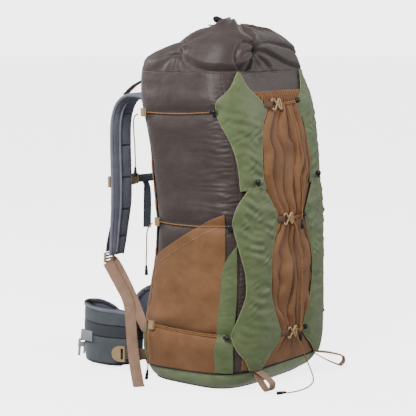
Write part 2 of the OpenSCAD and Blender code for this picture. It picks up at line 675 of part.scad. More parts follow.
// Free ends of the cords. Each route is measured from its lock to the tip.
SIDE_TAIL_TOP = [
    [-180, 142, 596], [-183, 148, 592], [-185, 151, 584], [-185, 152, 572], [-184, 152, 558],
    [-184, 151, 544], [-183, 150, 530], [-183, 150, 516], [-183, 149, 502], [-183, 149, 488], [-183, 149, 478]
];
SIDE_TAIL_MIDDLE = [
    [-180, 102, 356], [-184, 107, 351], [-187, 110, 343], [-188, 112, 333], [-188, 113, 321],
    [-188, 113, 309], [-188, 113, 297], [-189, 113, 285], [-190, 113, 273], [-191, 112, 262]
];
SIDE_TAIL_LOW = [
    [-194, 100, 118], [-198, 100, 116], [-200, 99, 111], [-201, 98, 103], [-201, 97, 94],
    [-201, 97, 82], [-201, 98, 70], [-200, 100, 58], [-199, 102, 46], [-198, 103, 34], [-198, 104, 27]
];
FRONT_TAIL_TOP = [
    [10, -124, 614], [13, -128, 607], [15, -131, 596], [18, -134, 580], [22, -137, 562],
    [26, -140, 542], [29, -142, 520], [31, -145, 496], [32, -147, 472], [33, -149, 448],
    [33, -151, 424], [32, -152, 400], [31, -153, 380], [30, -154, 364]
];
FRONT_TAIL_MIDDLE = [
    [0, -150, 364], [2, -153, 358], [5, -155, 349], [9, -156, 336], [14, -157, 320],
    [19, -157, 302], [23, -158, 284], [25, -158, 264], [26, -158, 242], [26, -158, 220],
    [25, -158, 198], [23, -158, 176], [22, -159, 154], [21, -160, 132], [20, -160, 114]
];
FRONT_TAIL_LOW = [
    [3, -154, 110], [8, -157, 103], [14, -159, 93], [22, -159, 80], [32, -158, 66],
    [43, -157, 51], [52, -157, 36], [57, -161, 21], [54, -169, 9], [42, -180, 3],
    [24, -191, 2], [2, -201, 2], [-22, -208, 2], [-46, -210, 2], [-70, -207, 2], [-92, -198, 2]
];
TIP_L = 22;
function tip_run(p) = unit(p[len(p) - 1] - p[len(p) - 2]);
module tail(route) cord(smooth(route, 1));
module tip(route, run) {
    along(route[len(route) - 1], run, [0.31, 0.95, 0.05]) rotate([0, 90, 0]) difference() {
        cylinder(h = TIP_L, r = 3.6, $fn = 32);
        translate([0, 0, -1]) cylinder(h = 1.2, r = cord_d / 2 + 0.3, $fn = 32);
    }
}
module side_tail_left_top() color(CORD_BROWN) tail(SIDE_TAIL_TOP);
module side_tail_left_middle() color(CORD_BROWN) tail(SIDE_TAIL_MIDDLE);
module side_tail_left_low() color(CORD_BROWN) tail(SIDE_TAIL_LOW);
module side_tail_right_top() color(CORD_BROWN) mirror([1, 0, 0]) tail(SIDE_TAIL_TOP);
module side_tail_right_middle() color(CORD_BROWN) mirror([1, 0, 0]) tail(SIDE_TAIL_MIDDLE);
module side_tail_right_low() color(CORD_BROWN) mirror([1, 0, 0]) tail(SIDE_TAIL_LOW);
module front_tail_top() color(CORD_BROWN) tail(FRONT_TAIL_TOP);
module front_tail_middle() color(CORD_BROWN) tail(FRONT_TAIL_MIDDLE);
module front_tail_low() color(CORD_BROWN) tail(FRONT_TAIL_LOW);
LOW_TIP_REST = 3.8;
module tail_tips() {
    color(BLACK_PLASTIC) {
        both_sides() for (r = [SIDE_TAIL_TOP, SIDE_TAIL_MIDDLE, SIDE_TAIL_LOW]) tip(r, tip_run(r));
        for (r = [FRONT_TAIL_TOP, FRONT_TAIL_MIDDLE]) tip(r, tip_run(r));
        last = FRONT_TAIL_LOW[len(FRONT_TAIL_LOW) - 1];
        tip([last, [last[0], last[1], LOW_TIP_REST]], [-0.9, 0.43, 0]);
    }
}

base_panel();
side_panel_left();
side_panel_right();
front_panel();
back_panel();
collar();
base_piping();
front_pocket();
side_pocket_left();
side_pocket_right();
side_bands();
front_wing_left();
front_wing_right();
frame_sheet();
frame_stay();
back_pad();
lumbar_pad();
collar_drawcord();
cord_lock_body();
cord_lock_spring();
cord_lock_button();
hip_wing_left();
hip_wing_right();
hip_webbing_left();
hip_webbing_right();
hip_buckle_plug();
hip_buckle_socket();
stabiliser_ring_left();
stabiliser_ring_right();
stabiliser_strap_left();
stabiliser_strap_right();
shoulder_strap_left();
shoulder_strap_right();
shoulder_webbing();
ladder_locks();
load_lifters();
lower_straps();
strap_tail_left();
strap_tail_right();
chest_sliders();
chest_webbing();
chest_buckle();
haul_loop();
tool_loops();
line_locs();
cord_anchors();
front_tabs();
front_hooks();
side_cords();
front_cords();
side_tail_left_top();
side_tail_left_middle();
side_tail_left_low();
side_tail_right_top();
side_tail_right_middle();
side_tail_right_low();
front_tail_top();
front_tail_middle();
front_tail_low();
tail_tips();
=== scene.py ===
import math

import bmesh
import bpy
import numpy as np
from mathutils import Matrix, Vector


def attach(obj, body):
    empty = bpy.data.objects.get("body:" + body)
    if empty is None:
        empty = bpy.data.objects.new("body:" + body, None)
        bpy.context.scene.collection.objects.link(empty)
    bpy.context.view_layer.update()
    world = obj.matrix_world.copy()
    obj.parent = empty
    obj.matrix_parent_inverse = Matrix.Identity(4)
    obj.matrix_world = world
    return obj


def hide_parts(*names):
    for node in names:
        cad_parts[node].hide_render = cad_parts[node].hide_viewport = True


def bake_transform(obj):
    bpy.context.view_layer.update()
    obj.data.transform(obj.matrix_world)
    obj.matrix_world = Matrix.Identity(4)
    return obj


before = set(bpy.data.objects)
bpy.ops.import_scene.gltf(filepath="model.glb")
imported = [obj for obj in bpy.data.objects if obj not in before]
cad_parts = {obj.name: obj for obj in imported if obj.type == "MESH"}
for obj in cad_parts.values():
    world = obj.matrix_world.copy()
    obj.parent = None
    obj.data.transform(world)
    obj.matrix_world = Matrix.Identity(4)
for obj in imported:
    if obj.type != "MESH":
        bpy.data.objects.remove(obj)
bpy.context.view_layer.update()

MM = 0.001

# ---------------------------------------------------------------- camera
# A long lens a little above the hip belt looks at the left front corner of the pack.
# The aim is the point that the middle of the frame sees.
BEARING = math.radians(-52)
HEIGHT_ANGLE = math.radians(7.7)
AIM = Vector((-0.112, 0, 0.391))
DISTANCE = 3.014
backwards = Vector((math.sin(BEARING) * math.cos(HEIGHT_ANGLE),
                    -math.cos(BEARING) * math.cos(HEIGHT_ANGLE), math.sin(HEIGHT_ANGLE)))
lens = bpy.data.cameras.new("camera")
lens.lens = 118.6
lens.sensor_width = 36
lens.clip_end = 200
camera = bpy.data.objects.new("camera", lens)
camera.location = AIM + backwards * DISTANCE
camera.rotation_euler = backwards.to_track_quat("Z", "Y").to_euler()
bpy.context.scene.collection.objects.link(camera)
bpy.context.scene.camera = camera


# ---------------------------------------------------------------- loose cord ends
# 3 mm elastic cords: a rubber core in a braided brown sheath. Each end leaves its lock, hangs
# down the bag under its own weight and stops in a moulded tip. The lowest front one reaches
# the floor and lies there in a loose curve. The routes are in millimetres.
def linear(hex_colour):
    """sRGB hex colour to linear RGBA."""
    channels = [int(hex_colour[i:i + 2], 16) / 255 for i in (1, 3, 5)]
    return [c / 12.92 if c <= 0.04045 else ((c + 0.055) / 1.055) ** 2.4 for c in channels] + [1]


def new_finish(name, **plain):
    """A material with one Principled shader, set to these plain values."""
    material = bpy.data.materials.new(name)
    material.use_nodes = True
    shader = material.node_tree.nodes["Principled BSDF"]
    for socket, value in plain.items():
        shader.inputs[socket.replace("_", " ")].default_value = value
    return material, shader


def add_node(material, kind, inputs=None, **settings):
    """One more shader node, with its settings, values and links."""
    node = material.node_tree.nodes.new(kind)
    for name, value in settings.items():
        setattr(node, name, value)
    for socket, value in (inputs or {}).items():
        if isinstance(value, bpy.types.NodeSocket):
            material.node_tree.links.new(value, node.inputs[socket])
        else:
            node.inputs[socket].default_value = value
    return node


def colour_between(material, factor, dark, light):
    """A colour socket that runs from dark to light as factor runs from 0 to 1."""
    inputs = {0: factor}
    for socket, value in ((6, dark), (7, light)):
        inputs[socket] = linear(value) if isinstance(value, str) else value
    return add_node(material, "ShaderNodeMix", inputs, data_type="RGBA").outputs[2]


def colour_and_relief(material, shader, colour, height, depth):
    """Links the colour to the shader, and bumps its surface by height times depth in metres."""
    bump = add_node(material, "ShaderNodeBump", {"Height": height, "Distance": depth})
    material.node_tree.links.new(colour, shader.inputs["Base Color"])
    material.node_tree.links.new(bump.outputs["Normal"], shader.inputs["Normal"])


def braided_cord():
    """Braided polyester sheath: matt, soft at the edge. The real braid is 1 mm long, and is
    drawn at 3 mm so that it shows."""
    material, shader = new_finish("braided_polyester", Roughness=0.65, Sheen_Weight=0.15)
    place = add_node(material, "ShaderNodeTexCoord").outputs["Object"]
    braid = add_node(material, "ShaderNodeTexVoronoi", {"Vector": place, "Scale": 1 / (3 * MM)})
    colour = colour_between(material, braid.outputs["Distance"], "#a8743f", "#7c5024")
    colour_and_relief(material, shader, colour, braid.outputs["Distance"], -0.4 * MM)
    return material


def moulded(name, dark, light, roughness):
    """Moulded plastic: a fine spark-eroded grain, drawn at 0.6 mm so that it shows, slight
    mottling and a soft gloss."""
    material, shader = new_finish(name, Roughness=roughness, IOR=1.48)
    place = add_node(material, "ShaderNodeTexCoord").outputs["Object"]
    mottle = add_node(material, "ShaderNodeTexNoise", {"Vector": place, "Scale": 1 / (11 * MM)})
    grain = add_node(material, "ShaderNodeTexNoise", {"Vector": place, "Scale": 1 / (0.6 * MM)})
    colour = colour_between(material, mottle.outputs["Fac"], dark, light)
    colour_and_relief(material, shader, colour, grain.outputs["Fac"], 0.06 * MM)
    return material


def smooth_run(points, steps=6):
    """A smooth curve through points."""
    p = np.array(points, float)
    around = np.vstack([p[:1], p, p[-1:]])
    run = []
    for a, b, c, d in zip(around, around[1:], around[2:], around[3:]):
        for t in np.arange(steps) / steps:
            run.append(0.5 * (2 * b + (c - a) * t + (2 * a - 5 * b + 4 * c - d) * t ** 2
                              + (3 * b - a - 3 * c + d) * t ** 3))
    return np.array(run + [p[-1]])


def in_scene(name, data):
    """An object at the origin that shows a mesh or curve."""
    piece = bpy.data.objects.new(name, data)
    bpy.context.scene.collection.objects.link(piece)
    return piece


def cord_curve(name, runs, radius, finish):
    """Round cords along runs of points in millimetres, as one curve object."""
    data = bpy.data.curves.new(name, "CURVE")
    data.dimensions = "3D"
    data.bevel_depth = radius * MM
    data.bevel_resolution = 2
    data.use_fill_caps = True
    for run in runs:
        spline = data.splines.new("POLY")
        spline.points.add(len(run) - 1)
        places = np.hstack([np.array(run) * MM, np.ones((len(run), 1))])
        spline.points.foreach_set("co", places.ravel())
    data.materials.append(finish)
    return in_scene(name, data)


def mesh_of(name, bm):
    """Ends a bmesh as a mesh."""
    data = bpy.data.meshes.new(name)
    bm.to_mesh(data)
    bm.free()
    return data


def finished(name, bm, finish, body="pack", nodes=()):
    """Turns a bmesh into a piece at the origin, in its finish, riding on its body."""
    data = mesh_of(name, bm)
    data.shade_smooth()
    return settled(name, data, finish, body, nodes)


def settled(name, data, finish, body="pack", nodes=()):
    """Puts a mesh or curve in the scene as a piece, in its finish, riding on its body."""
    if not len(data.materials):
        data.materials.append(finish)
    return fitted(in_scene(name, data), body, nodes)


def fitted(piece, body="pack", nodes=()):
    """Hides the CAD nodes that a piece stands for, and makes the piece ride on its body."""
    if nodes:
        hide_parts(*nodes)
    if body:
        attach(piece, body)
    return piece


def turned(bm, profile, at, direction, steps=20):
    """A solid turned from a profile of (radius, height), standing at a point in millimetres."""
    before = set(bm.verts)
    verts = [bm.verts.new((r, 0, h)) for r, h in profile]
    edges = [bm.edges.new(pair) for pair in zip(verts, verts[1:])]
    bmesh.ops.spin(bm, geom=verts + edges, cent=(0, 0, 0), axis=(0, 0, 1), angle=2 * math.pi,
                   steps=steps, use_merge=True)
    solid = [v for v in bm.verts if v not in before]
    turn = Vector(direction).to_track_quat("Z", "Y").to_matrix()
    bmesh.ops.rotate(bm, matrix=turn, verts=solid)
    bmesh.ops.translate(bm, vec=at, verts=solid)


def closed_up(bm):
    """Merges doubled points, turns the faces outwards and brings millimetres to metres."""
    bmesh.ops.remove_doubles(bm, verts=bm.verts, dist=0.01)
    bmesh.ops.recalc_face_normals(bm, faces=bm.faces)
    bmesh.ops.scale(bm, vec=(MM, MM, MM), verts=bm.verts)
    return bm


CORD_D = 3
BRAID = braided_cord()
BLACK_ACETAL = moulded("black_acetal", "#121315", "#232427", 0.32)
TIP_PROFILE = [(0, 0), (1.9, 0), (2.6, 0.8), (3.0, 4), (2.6, 5), (3.1, 6), (3.7, 12), (3.9, 20),
               (3.3, 22), (0, 22)]
SIDE_TAILS = {
    "top": (0.120, [
        (-180, 142, 596), (-183, 148, 592), (-185, 151, 584), (-185, 152, 572),
        (-184, 152, 558), (-184, 151, 544), (-183, 150, 530), (-183, 150, 516),
        (-183, 149, 502), (-183, 149, 488), (-183, 149, 478)]),
    "middle": (0.098, [
        (-180, 102, 356), (-184, 107, 351), (-187, 110, 343), (-188, 112, 333),
        (-188, 113, 321), (-188, 113, 309), (-188, 113, 297), (-189, 113, 285),
        (-190, 113, 273), (-191, 112, 262)]),
    "low": (0.094, [
        (-194, 100, 118), (-198, 100, 116), (-200, 99, 111), (-201, 98, 103),
        (-201, 97, 94), (-201, 97, 82), (-201, 98, 70), (-200, 100, 58), (-199, 102, 46),
        (-198, 103, 34), (-198, 104, 27)])}
FRONT_TAILS = {
    "top": (0.254, [
        (10, -124, 614), (13, -128, 607), (15, -131, 596), (18, -134, 580), (22, -137, 562),
        (26, -140, 542), (29, -142, 520), (31, -145, 496), (32, -147, 472), (33, -149, 448),
        (33, -151, 424), (32, -152, 400), (31, -153, 380), (30, -154, 364)]),
    "middle": (0.253, [
        (0, -150, 364), (2, -153, 358), (5, -155, 349), (9, -156, 336), (14, -157, 320),
        (19, -157, 302), (23, -158, 284), (25, -158, 264), (26, -158, 242), (26, -158, 220),
        (25, -158, 198), (23, -158, 176), (22, -159, 154), (21, -160, 132), (20, -160, 114)]),
    "low": (0.278, [
        (3, -154, 110), (8, -157, 103), (14, -159, 93), (22, -159, 80), (32, -158, 66),
        (43, -157, 51), (52, -157, 36), (57, -161, 21), (54, -169, 9), (42, -180, 3),
        (24, -191, 2), (2, -201, 2), (-22, -208, 2), (-46, -210, 2), (-70, -207, 2),
        (-92, -198, 2)])}


def cord_end(name, route, lay):
    """One loose end with its tip. The tip of an end on the floor lies flat."""
    run = smooth_run(route, 4)
    last, way = run[-1], run[-1] - run[-2]
    if lay == "loose":
        last, way = np.array([last[0], last[1], 3.9]), np.array([-0.9, 0.43, 0])
    bm = bmesh.new()
    turned(bm, TIP_PROFILE, last, way)
    tip = finished(name + "_tip", closed_up(bm), BLACK_ACETAL, "pack",
                   ["tail_tips"])
    end = fitted(cord_curve(name + "_cord", [run], CORD_D / 2, BRAID), "pack",
                 [name])


for part, (length, route) in SIDE_TAILS.items():
    cord_end("side_tail_left_" + part, route, "hanging")
    cord_end("side_tail_right_" + part, [(-x, y, z) for x, y, z in route], "hanging")
for part, (length, route) in FRONT_TAILS.items():
    cord_end("front_tail_" + part, route, "loose" if part == "low" else "hanging")


# ---------------------------------------------------------------- bag walls and collar
# The bag is thin coated nylon with a faint ripstop grid, sewn as two flanks, a front and a back
# and a long collar, then stuffed. The flanks are gathered where they meet the wings, drawn in by
# the cords, and the collar is rolled and pulled shut in fat lobes round a small mouth.
STATIONS = np.array([
    (0, 160, -90, 142), (18, 177, -122, 157), (45, 186, -136, 165), (100, 189, -141, 167),
    (230, 186, -143, 141), (350, 183, -139, 127), (480, 182, -130, 144), (600, 180, -114, 173),
    (660, 173, -97, 185), (700, 166, -86, 185), (735, 150, -80, 176), (760, 130, -66, 152),
    (778, 104, -46, 116), (786, 70, -26, 74), (788, 24, 2, 38)], float)
SLOPES = np.array([
    (STATIONS[min(i + 1, 14)] - STATIONS[max(i - 1, 0)])
    / (STATIONS[min(i + 1, 14), 0] - STATIONS[max(i - 1, 0), 0]) for i in range(15)])
SQUARENESS = 4
BAG_TOP = 788
COLLAR_SEAM = 690
SIDE_FROM, SIDE_TO = 147, 217


def step_up(x, low, high):
    """0 below low and 1 above high, with a smooth rise between."""
    t = np.clip((x - low) / (high - low), 0, 1)
    return t * t * (3 - 2 * t)


def hump(x, middle, width):
    return np.exp(-((x - middle) / width) ** 2)


def station(z):
    i = np.clip(np.searchsorted(STATIONS[:, 0], z, side="right") - 1, 0, 13)
    a, b = STATIONS[i], STATIONS[i + 1]
    h = (b - a)[..., :1]
    t = (np.asarray(z)[..., None] - a[..., :1]) / h
    return ((2 * t ** 3 - 3 * t ** 2 + 1) * a + (t ** 3 - 2 * t ** 2 + t) * h * SLOPES[i]
            + (3 * t ** 2 - 2 * t ** 3) * b + (t ** 3 - t ** 2) * h * SLOPES[i + 1])


def bare_skin(z, a):
    """Points of the bag's smooth skin at height z and bearing a, 0 right and 270 front."""
    z, a = np.broadcast_arrays(np.asarray(z, float), np.radians(np.asarray(a, float)))
    s = station(z)
    half, deep, middle = s[..., 1], (s[..., 3] - s[..., 2]) / 2, (s[..., 3] + s[..., 2]) / 2
    r = ((abs(np.cos(a)) / half) ** SQUARENESS
         + (abs(np.sin(a)) / deep) ** SQUARENESS) ** (-1 / SQUARENESS)
    return np.stack([r * np.cos(a), middle + r * np.sin(a), z], -1)


def skin_out(z, a):
    along = bare_skin(z, a + 1) - bare_skin(z, a - 1)
    up = bare_skin(np.minimum(z + 1, BAG_TOP), a) - bare_skin(np.maximum(z - 1, 0), a)
    out = np.cross(along, up)
    return out / np.linalg.norm(out, axis=-1, keepdims=True)


def skin(z, a, off=0):
    """Points on the bag, off millimetres out from its skin."""
    return bare_skin(z, a) + np.asarray(off)[..., None] * skin_out(z, a)


RING = np.arange(0, 361, 1.0)
ring_points = bare_skin(np.full(361, 350.0), RING)
RING_LENGTH = np.concatenate([[0], np.cumsum(np.linalg.norm(np.diff(ring_points, axis=0), axis=1))])


def around(a):
    """Millimetres round the bag from bearing 0 to bearing a."""
    a = np.asarray(a, float)
    return np.floor(a / 360) * RING_LENGTH[-1] + np.interp(a % 360, RING, RING_LENGTH)


def cloth_noise(x, y, seed):
    """Smooth noise between about -1 and 1 over cells of 1, the same at each run."""
    i, j = np.floor(x), np.floor(y)
    fx, fy = x - i, y - j

    def corner(di, dj):
        h = np.sin((i + di) * 127.1 + (j + dj) * 311.7 + seed * 74.7) * 43758.5453
        turn = 2 * np.pi * (h - np.floor(h))
        return np.cos(turn) * (fx - di) + np.sin(turn) * (fy - dj)
    u, v = fx ** 3 * (fx * (fx * 6 - 15) + 10), fy ** 3 * (fy * (fy * 6 - 15) + 10)
    low = corner(0, 0) * (1 - u) + corner(1, 0) * u
    high = corner(0, 1) * (1 - u) + corner(1, 1) * u
    return 1.5 * (low * (1 - v) + high * v)


def closing(a, pattern):
    """Fades a pattern over the last 40 degrees of bearing, so that it meets its own start."""
    t = step_up(a, 320, 360)
    return (1 - t) * pattern(around(a)) + t * pattern(around(a) - RING_LENGTH[-1])


# The wings' outlines: height, outer and inner bearing
UPPER_WING = [
    (440, 218, 238), (470, 218, 236), (507, 217.5, 236.5), (545, 215.5, 238.5), (577, 212, 241),
    (600, 210.4, 246.5), (614, 210.4, 247.5), (630, 212.5, 242.5), (655, 221, 234),
    (689, 227.5, 229)]
LOWER_WING = [
    (50, 226.5, 235), (74, 223.5, 242), (95, 219, 250), (117, 216, 254.9), (135, 215, 252),
    (172, 218, 246), (215, 220.8, 241), (260, 220, 240.5), (300, 216.6, 241.3),
    (340, 213.4, 245), (368, 211.9, 248.9), (385, 212.5, 247), (410, 215.5, 242), (446, 224, 234)]
WING_EDGES = np.array(LOWER_WING[:-2] + UPPER_WING[1:], float)
CORD_LINES = [((600, 150), (607, 209)), ((360, 151), (366, 209.5)), ((129, 155), (128, 212.5))]


def to_left(a):
    """The bearing on the left half that mirrors bearing a."""
    return np.where(np.cos(np.radians(a)) > 0, (180 - a) % 360, a % 360)


def broad_stuffing(z, a):
    """How far the load pushes the cloth out, or a cord draws it in, in millimetres."""
    m = to_left(a)
    off = closing(a, lambda s: 2.2 * cloth_noise(s / 75, z / 60, 3))
    for (z0, a0), (z1, a1) in CORD_LINES:
        line = z0 + (z1 - z0) * (m - a0) / (a1 - a0)
        shows = step_up(m, a0 - 4, a0 + 6) * (1 - step_up(m, a1 - 2, a1 + 8))
        off += shows * (2.6 * hump(z, line + 30, 20) + 2.6 * hump(z, line - 30, 20)
                        - 4.2 * hump(z, line, 9))
    return off


def gathers(z, a):
    """Fine puckers where the flank cloth is gathered against the wings."""
    m = to_left(a)
    s = around(m)
    edge = np.interp(z, WING_EDGES[:, 0], WING_EDGES[:, 1])
    back = around(edge) - s
    open_flank = np.where(m < 217, step_up(z, 332, 345), 1) * np.where(
        m < 206, step_up(z, 300 + (m - 147) * 1.6, 320 + (m - 147) * 1.6), 1)
    near = np.where(back > 0, hump(back, 0, 24), step_up(-back, 9, 3))
    ripple = np.sin(2 * np.pi * (z / 9.5 + 0.5 * cloth_noise(s / 15, z / 24, 5)))
    long_ripple = np.sin(2 * np.pi * (z / 15 + 0.8 * cloth_noise(s / 70, z / 28, 8)))
    swell = 0.7 + 0.5 * cloth_noise(s / 30, z / 45, 6)
    wide = hump(back, 20, 75) * (0.5 * hump(z, 420, 45) + 0.25 * hump(z, 520, 60)) * (back > -6)
    fine = closing(a, lambda x: 0.8 * cloth_noise(x / 30, z / 22, 9)
                   + 0.35 * cloth_noise(x / 12, z / 9, 10))
    body = 1 - step_up(z, 676, 692)
    return open_flank * (body * (1.45 * near * swell * ripple + 2.0 * wide * long_ripple) + fine)


def line_apart(x, y, line):
    """Distance from points to a broken line, and whether they lie to its left, as +1 or -1."""
    best = np.full(np.shape(x), 1e9)
    side = np.ones(np.shape(x))
    for (x0, y0), (x1, y1) in zip(line, line[1:]):
        dx, dy = x1 - x0, y1 - y0
        t = np.clip(((x - x0) * dx + (y - y0) * dy) / (dx * dx + dy * dy), 0, 1)
        far = np.hypot(x - x0 - t * dx, y - y0 - t * dy)
        nearer = far < best
        best = np.where(nearer, far, best)
        side = np.where(nearer, np.sign(dx * (y - y0) - dy * (x - x0)), side)
    return best, side


ROLL_CREASE = [(around(a), z) for a, z in (
    (179, 736), (184, 726), (189, 716), (199, 700), (206, 694), (213, 691.5), (229, 691.5),
    (236, 700), (240, 716), (243.5, 737))]
FRONT_CREASES = [[(around(a), z) for a, z in crease] for crease in (
    ((243.5, 737), (260, 731), (277, 719), (296, 703), (314, 693)),
    ((243.5, 737), (256, 746), (276, 749), (300, 742), (318, 728)),
    ((243.5, 737), (252, 722), (262, 708), (268, 697)))]


def collar_lobes(z, a):
    """The rolled collar: lobes that bulge over creases, two pinches with folds running out of
    them, a round knob between, and small ruffles at the mouth."""
    s = around(a)
    off = np.zeros(np.shape(z))
    far, side = line_apart(s, z, ROLL_CREASE)
    inside = step_up(s, around(178), around(184)) * (1 - step_up(s, around(240), around(245)))
    above = inside * (side > 0)
    off += above * 11 * step_up(far, 0, 16) * (1 - 0.7 * step_up(z, 745, 785))
    off -= 3.5 * hump(far, 0, 4) * step_up(z, 684, 693)
    for a0, z0, count, turn in ((179, 738, 9, 0.4), (243.5, 738, 8, 1.1)):
        dx, dz = s - around(a0), z - z0
        r, way = np.hypot(dx, dz), np.arctan2(dz, dx)
        off -= 11 * hump(r, 0, 13)
        off += 4.2 * np.exp(-r / 52) * step_up(r, 4, 18) * np.sin(count * way + turn
                                                                  + 0.6 * np.sin(2 * way))
    r = np.hypot(s - around(234), z - 721)
    off += 8 * np.sqrt(np.clip(1 - (r / 25) ** 2, 0, 1)) - 6 * hump(r, 27, 4)
    for crease in FRONT_CREASES:
        far, side = line_apart(s, z, crease)
        off += np.where(side > 0, 4.5, 1) * step_up(far, 0, 10) * hump(far, 6, 22)
        off -= 4 * hump(far, 0, 3.5)
    top = step_up(z, 742, 782)
    off -= 10 * top * (hump(s, around(181), 14) + hump(s, around(244), 13)
                       + hump(s, around(322), 16) + hump(s, around(60), 18)
                       + hump(s, around(118), 16))
    return off * step_up(z, 683, 694)


def stuffing(z, a):
    """Everything that moves the dark cloth off its smooth skin."""
    return broad_stuffing(z, a) + gathers(z, a) + collar_lobes(z, a)


def laid_cloth(name, cols, rows, place, finish, nodes=(), thick=0.8, closed=False,
               body="pack"):
    """A sheet of cloth from a grid. place(u, v) gives points, and how far each lies along and
    up the cloth, all in millimetres; that is its UV map, in metres."""
    bm = bmesh.new()
    bmesh.ops.create_grid(bm, x_segments=cols, y_segments=rows, size=1)
    data = mesh_of(name, bm)
    flat = np.empty(len(data.vertices) * 3)
    data.vertices.foreach_get("co", flat)
    flat = flat.reshape(-1, 3)[:, :2]
    flat = (flat - flat.min(0)) / (flat.max(0) - flat.min(0))
    points, cloth = place(flat[:, 0], flat[:, 1])
    data.vertices.foreach_set("co", (points * MM).ravel())
    corners = np.empty(len(data.loops), int)
    data.loops.foreach_get("vertex_index", corners)
    data.uv_layers.new(name="cloth").data.foreach_set("uv", (cloth[corners] * MM).ravel())
    if closed:
        bm = bmesh.new()
        bm.from_mesh(data)
        bmesh.ops.remove_doubles(bm, verts=bm.verts, dist=0.01 * MM)
        bm.to_mesh(data)
        bm.free()
    data.shade_smooth()
    piece = settled(name, data, finish, body, nodes)
    if thick:
        wall = piece.modifiers.new("cloth", "SOLIDIFY")
        wall.thickness = thick * MM
        wall.offset = -1
    return piece


def woven(name, dark, light, thread, depth, ribs=(1, 1), roughness=0.6, sheen=0.2, mottle=22,
          **plain):
    """Woven cloth: two sets of threads crossing, from the cloth's UV map, and soft patches of
    lighter and darker dye about mottle millimetres across. Real threads are under half a
    millimetre apart, so they are drawn coarser, at the spacing given, to show."""
    material, shader = new_finish(name, Roughness=roughness, Sheen_Weight=sheen,
                                  Sheen_Roughness=0.4, **plain)
    cloth = add_node(material, "ShaderNodeUVMap", uv_map="cloth").outputs["UV"]
    place = add_node(material, "ShaderNodeTexCoord").outputs["Object"]
    waves = [add_node(material, "ShaderNodeTexWave", {
        "Vector": cloth, "Scale": math.pi / 10 / (thread * rib * MM), "Distortion": 0.4,
        "Detail": 1.0}, bands_direction=axis).outputs["Fac"] for axis, rib in zip("XY", ribs)]
    weave = add_node(material, "ShaderNodeMath", {0: waves[0], 1: waves[1]},
                     operation="MULTIPLY").outputs[0]
    patches = add_node(material, "ShaderNodeTexNoise", {
        "Vector": place, "Scale": 1 / (mottle * MM), "Detail": 4}).outputs["Fac"]
    factor = add_node(material, "ShaderNodeMath", {0: weave, 1: 0.35, 2: patches},
                      operation="MULTIPLY_ADD").outputs[0]
    factor = add_node(material, "ShaderNodeMath", {0: factor, 1: -0.12},
                      operation="ADD", use_clamp=True).outputs[0]
    colour_and_relief(material, shader, colour_between(material, factor, dark, light), weave,
                      depth * MM)
    return material


def base_seam(a):
    """Height of the seam between base and walls, which climbs a little to the front."""
    return 30 + 17 * (1 - np.sin(np.radians(a))) / 2


# Ripstop nylon is thin, coated and calendered, so it has a low satin sheen. Its grid is 5 mm.
DARK_NYLON = woven("ripstop_nylon_dark", "#3a302e", "#544845", 5, 0.10, roughness=0.50,
                   sheen=0.25, mottle=40, Specular_IOR_Level=0.35)
FOAM_CLOTH = woven("brushed_nylon_slate", "#3b3f47", "#565b64", 2.4, 0.12, roughness=0.75,
                   sheen=0.35, mottle=30)
POCKET_LEFT, POCKET_RIGHT = 222, 318


def wall(low, high, out=stuffing):
    def place(u, v):
        a = low + (high - low) * u
        foot = base_seam(a) + 0.5
        z = foot + (COLLAR_SEAM - foot) * v
        recess = 3 * step_up(a, 224, 232) * (1 - step_up(a, 308, 316)) * (
            1 - step_up(z, 636, 650)) * step_up(z, 52, 70)
        return skin(z, a, out(z, a % 360) - recess), np.stack([around(a), z], -1)
    return place


laid_cloth("flank_left", 110, 250, wall(SIDE_FROM, SIDE_TO), DARK_NYLON,
           ["side_panel_left"])
laid_cloth("flank_right", 110, 250, wall(180 - SIDE_TO, 180 - SIDE_FROM), DARK_NYLON,
           ["side_panel_right"])
laid_cloth("front_wall", 120, 220, wall(SIDE_TO, 540 - SIDE_TO), DARK_NYLON,
           ["front_panel"])
laid_cloth("back_wall", 90, 130, wall(180 - SIDE_FROM, SIDE_FROM, broad_stuffing), FOAM_CLOTH,
           ["back_panel"])

# The collar's rows are spaced evenly up its curved side and over its top
profile_z = np.concatenate([np.linspace(COLLAR_SEAM, 786, 97), np.linspace(786.2, BAG_TOP, 40)])
profile = bare_skin(profile_z, np.full(len(profile_z), 200.0))
profile_run = np.concatenate([[0], np.cumsum(np.linalg.norm(np.diff(profile, axis=0), axis=1))])
THROAT = 0.06


def collar_place(u, v):
    """The collar up to its mouth, then a short throat where the cloth turns down inside."""
    a = 360 * u
    t = np.clip(v / (1 - THROAT), 0, 1)
    z = np.interp(t * profile_run[-1], profile_run, profile_z)
    inner = np.clip((v - (1 - THROAT)) / THROAT, 0, 1)
    ruffle = step_up(t, 0.62, 0.95) * (
        3.4 * np.sin(np.radians(11 * a) + 2.2 * np.sin(np.radians(3 * a)))
        + 2.0 * np.sin(np.radians(19 * a) + 1.4 * np.sin(np.radians(2 * a) + 1)))
    points = skin(z, a, stuffing(z, a) + ruffle)
    crest = step_up(z, 772, 786) * step_up(a, 186, 200) * (1 - step_up(a, 318, 340))
    points[:, 2] += crest * (4 + 4 * np.sin(np.radians(13 * a) + 1.6 * np.sin(np.radians(5 * a)))
                             + 9 * hump(a, 212, 16))
    sag = 26 * step_up(a, 92, 118) * (1 - step_up(a, 170, 182)) * step_up(z, 705, 772)
    sag = sag + 10 * step_up(a, 245, 262) * (1 - step_up(a, 300, 330)) * hump(z, 788, 7)
    points[:, 2] -= sag
    middle = np.array([0, 20, BAG_TOP - 30])
    points = points + (middle - points) * (0.75 * inner ** 1.5)[:, None]
    return points, np.stack([around(a), COLLAR_SEAM + v * profile_run[-1]], -1)


laid_cloth("rolled_collar", 300, 130, collar_place, DARK_NYLON, ["collar"],
           closed=True)
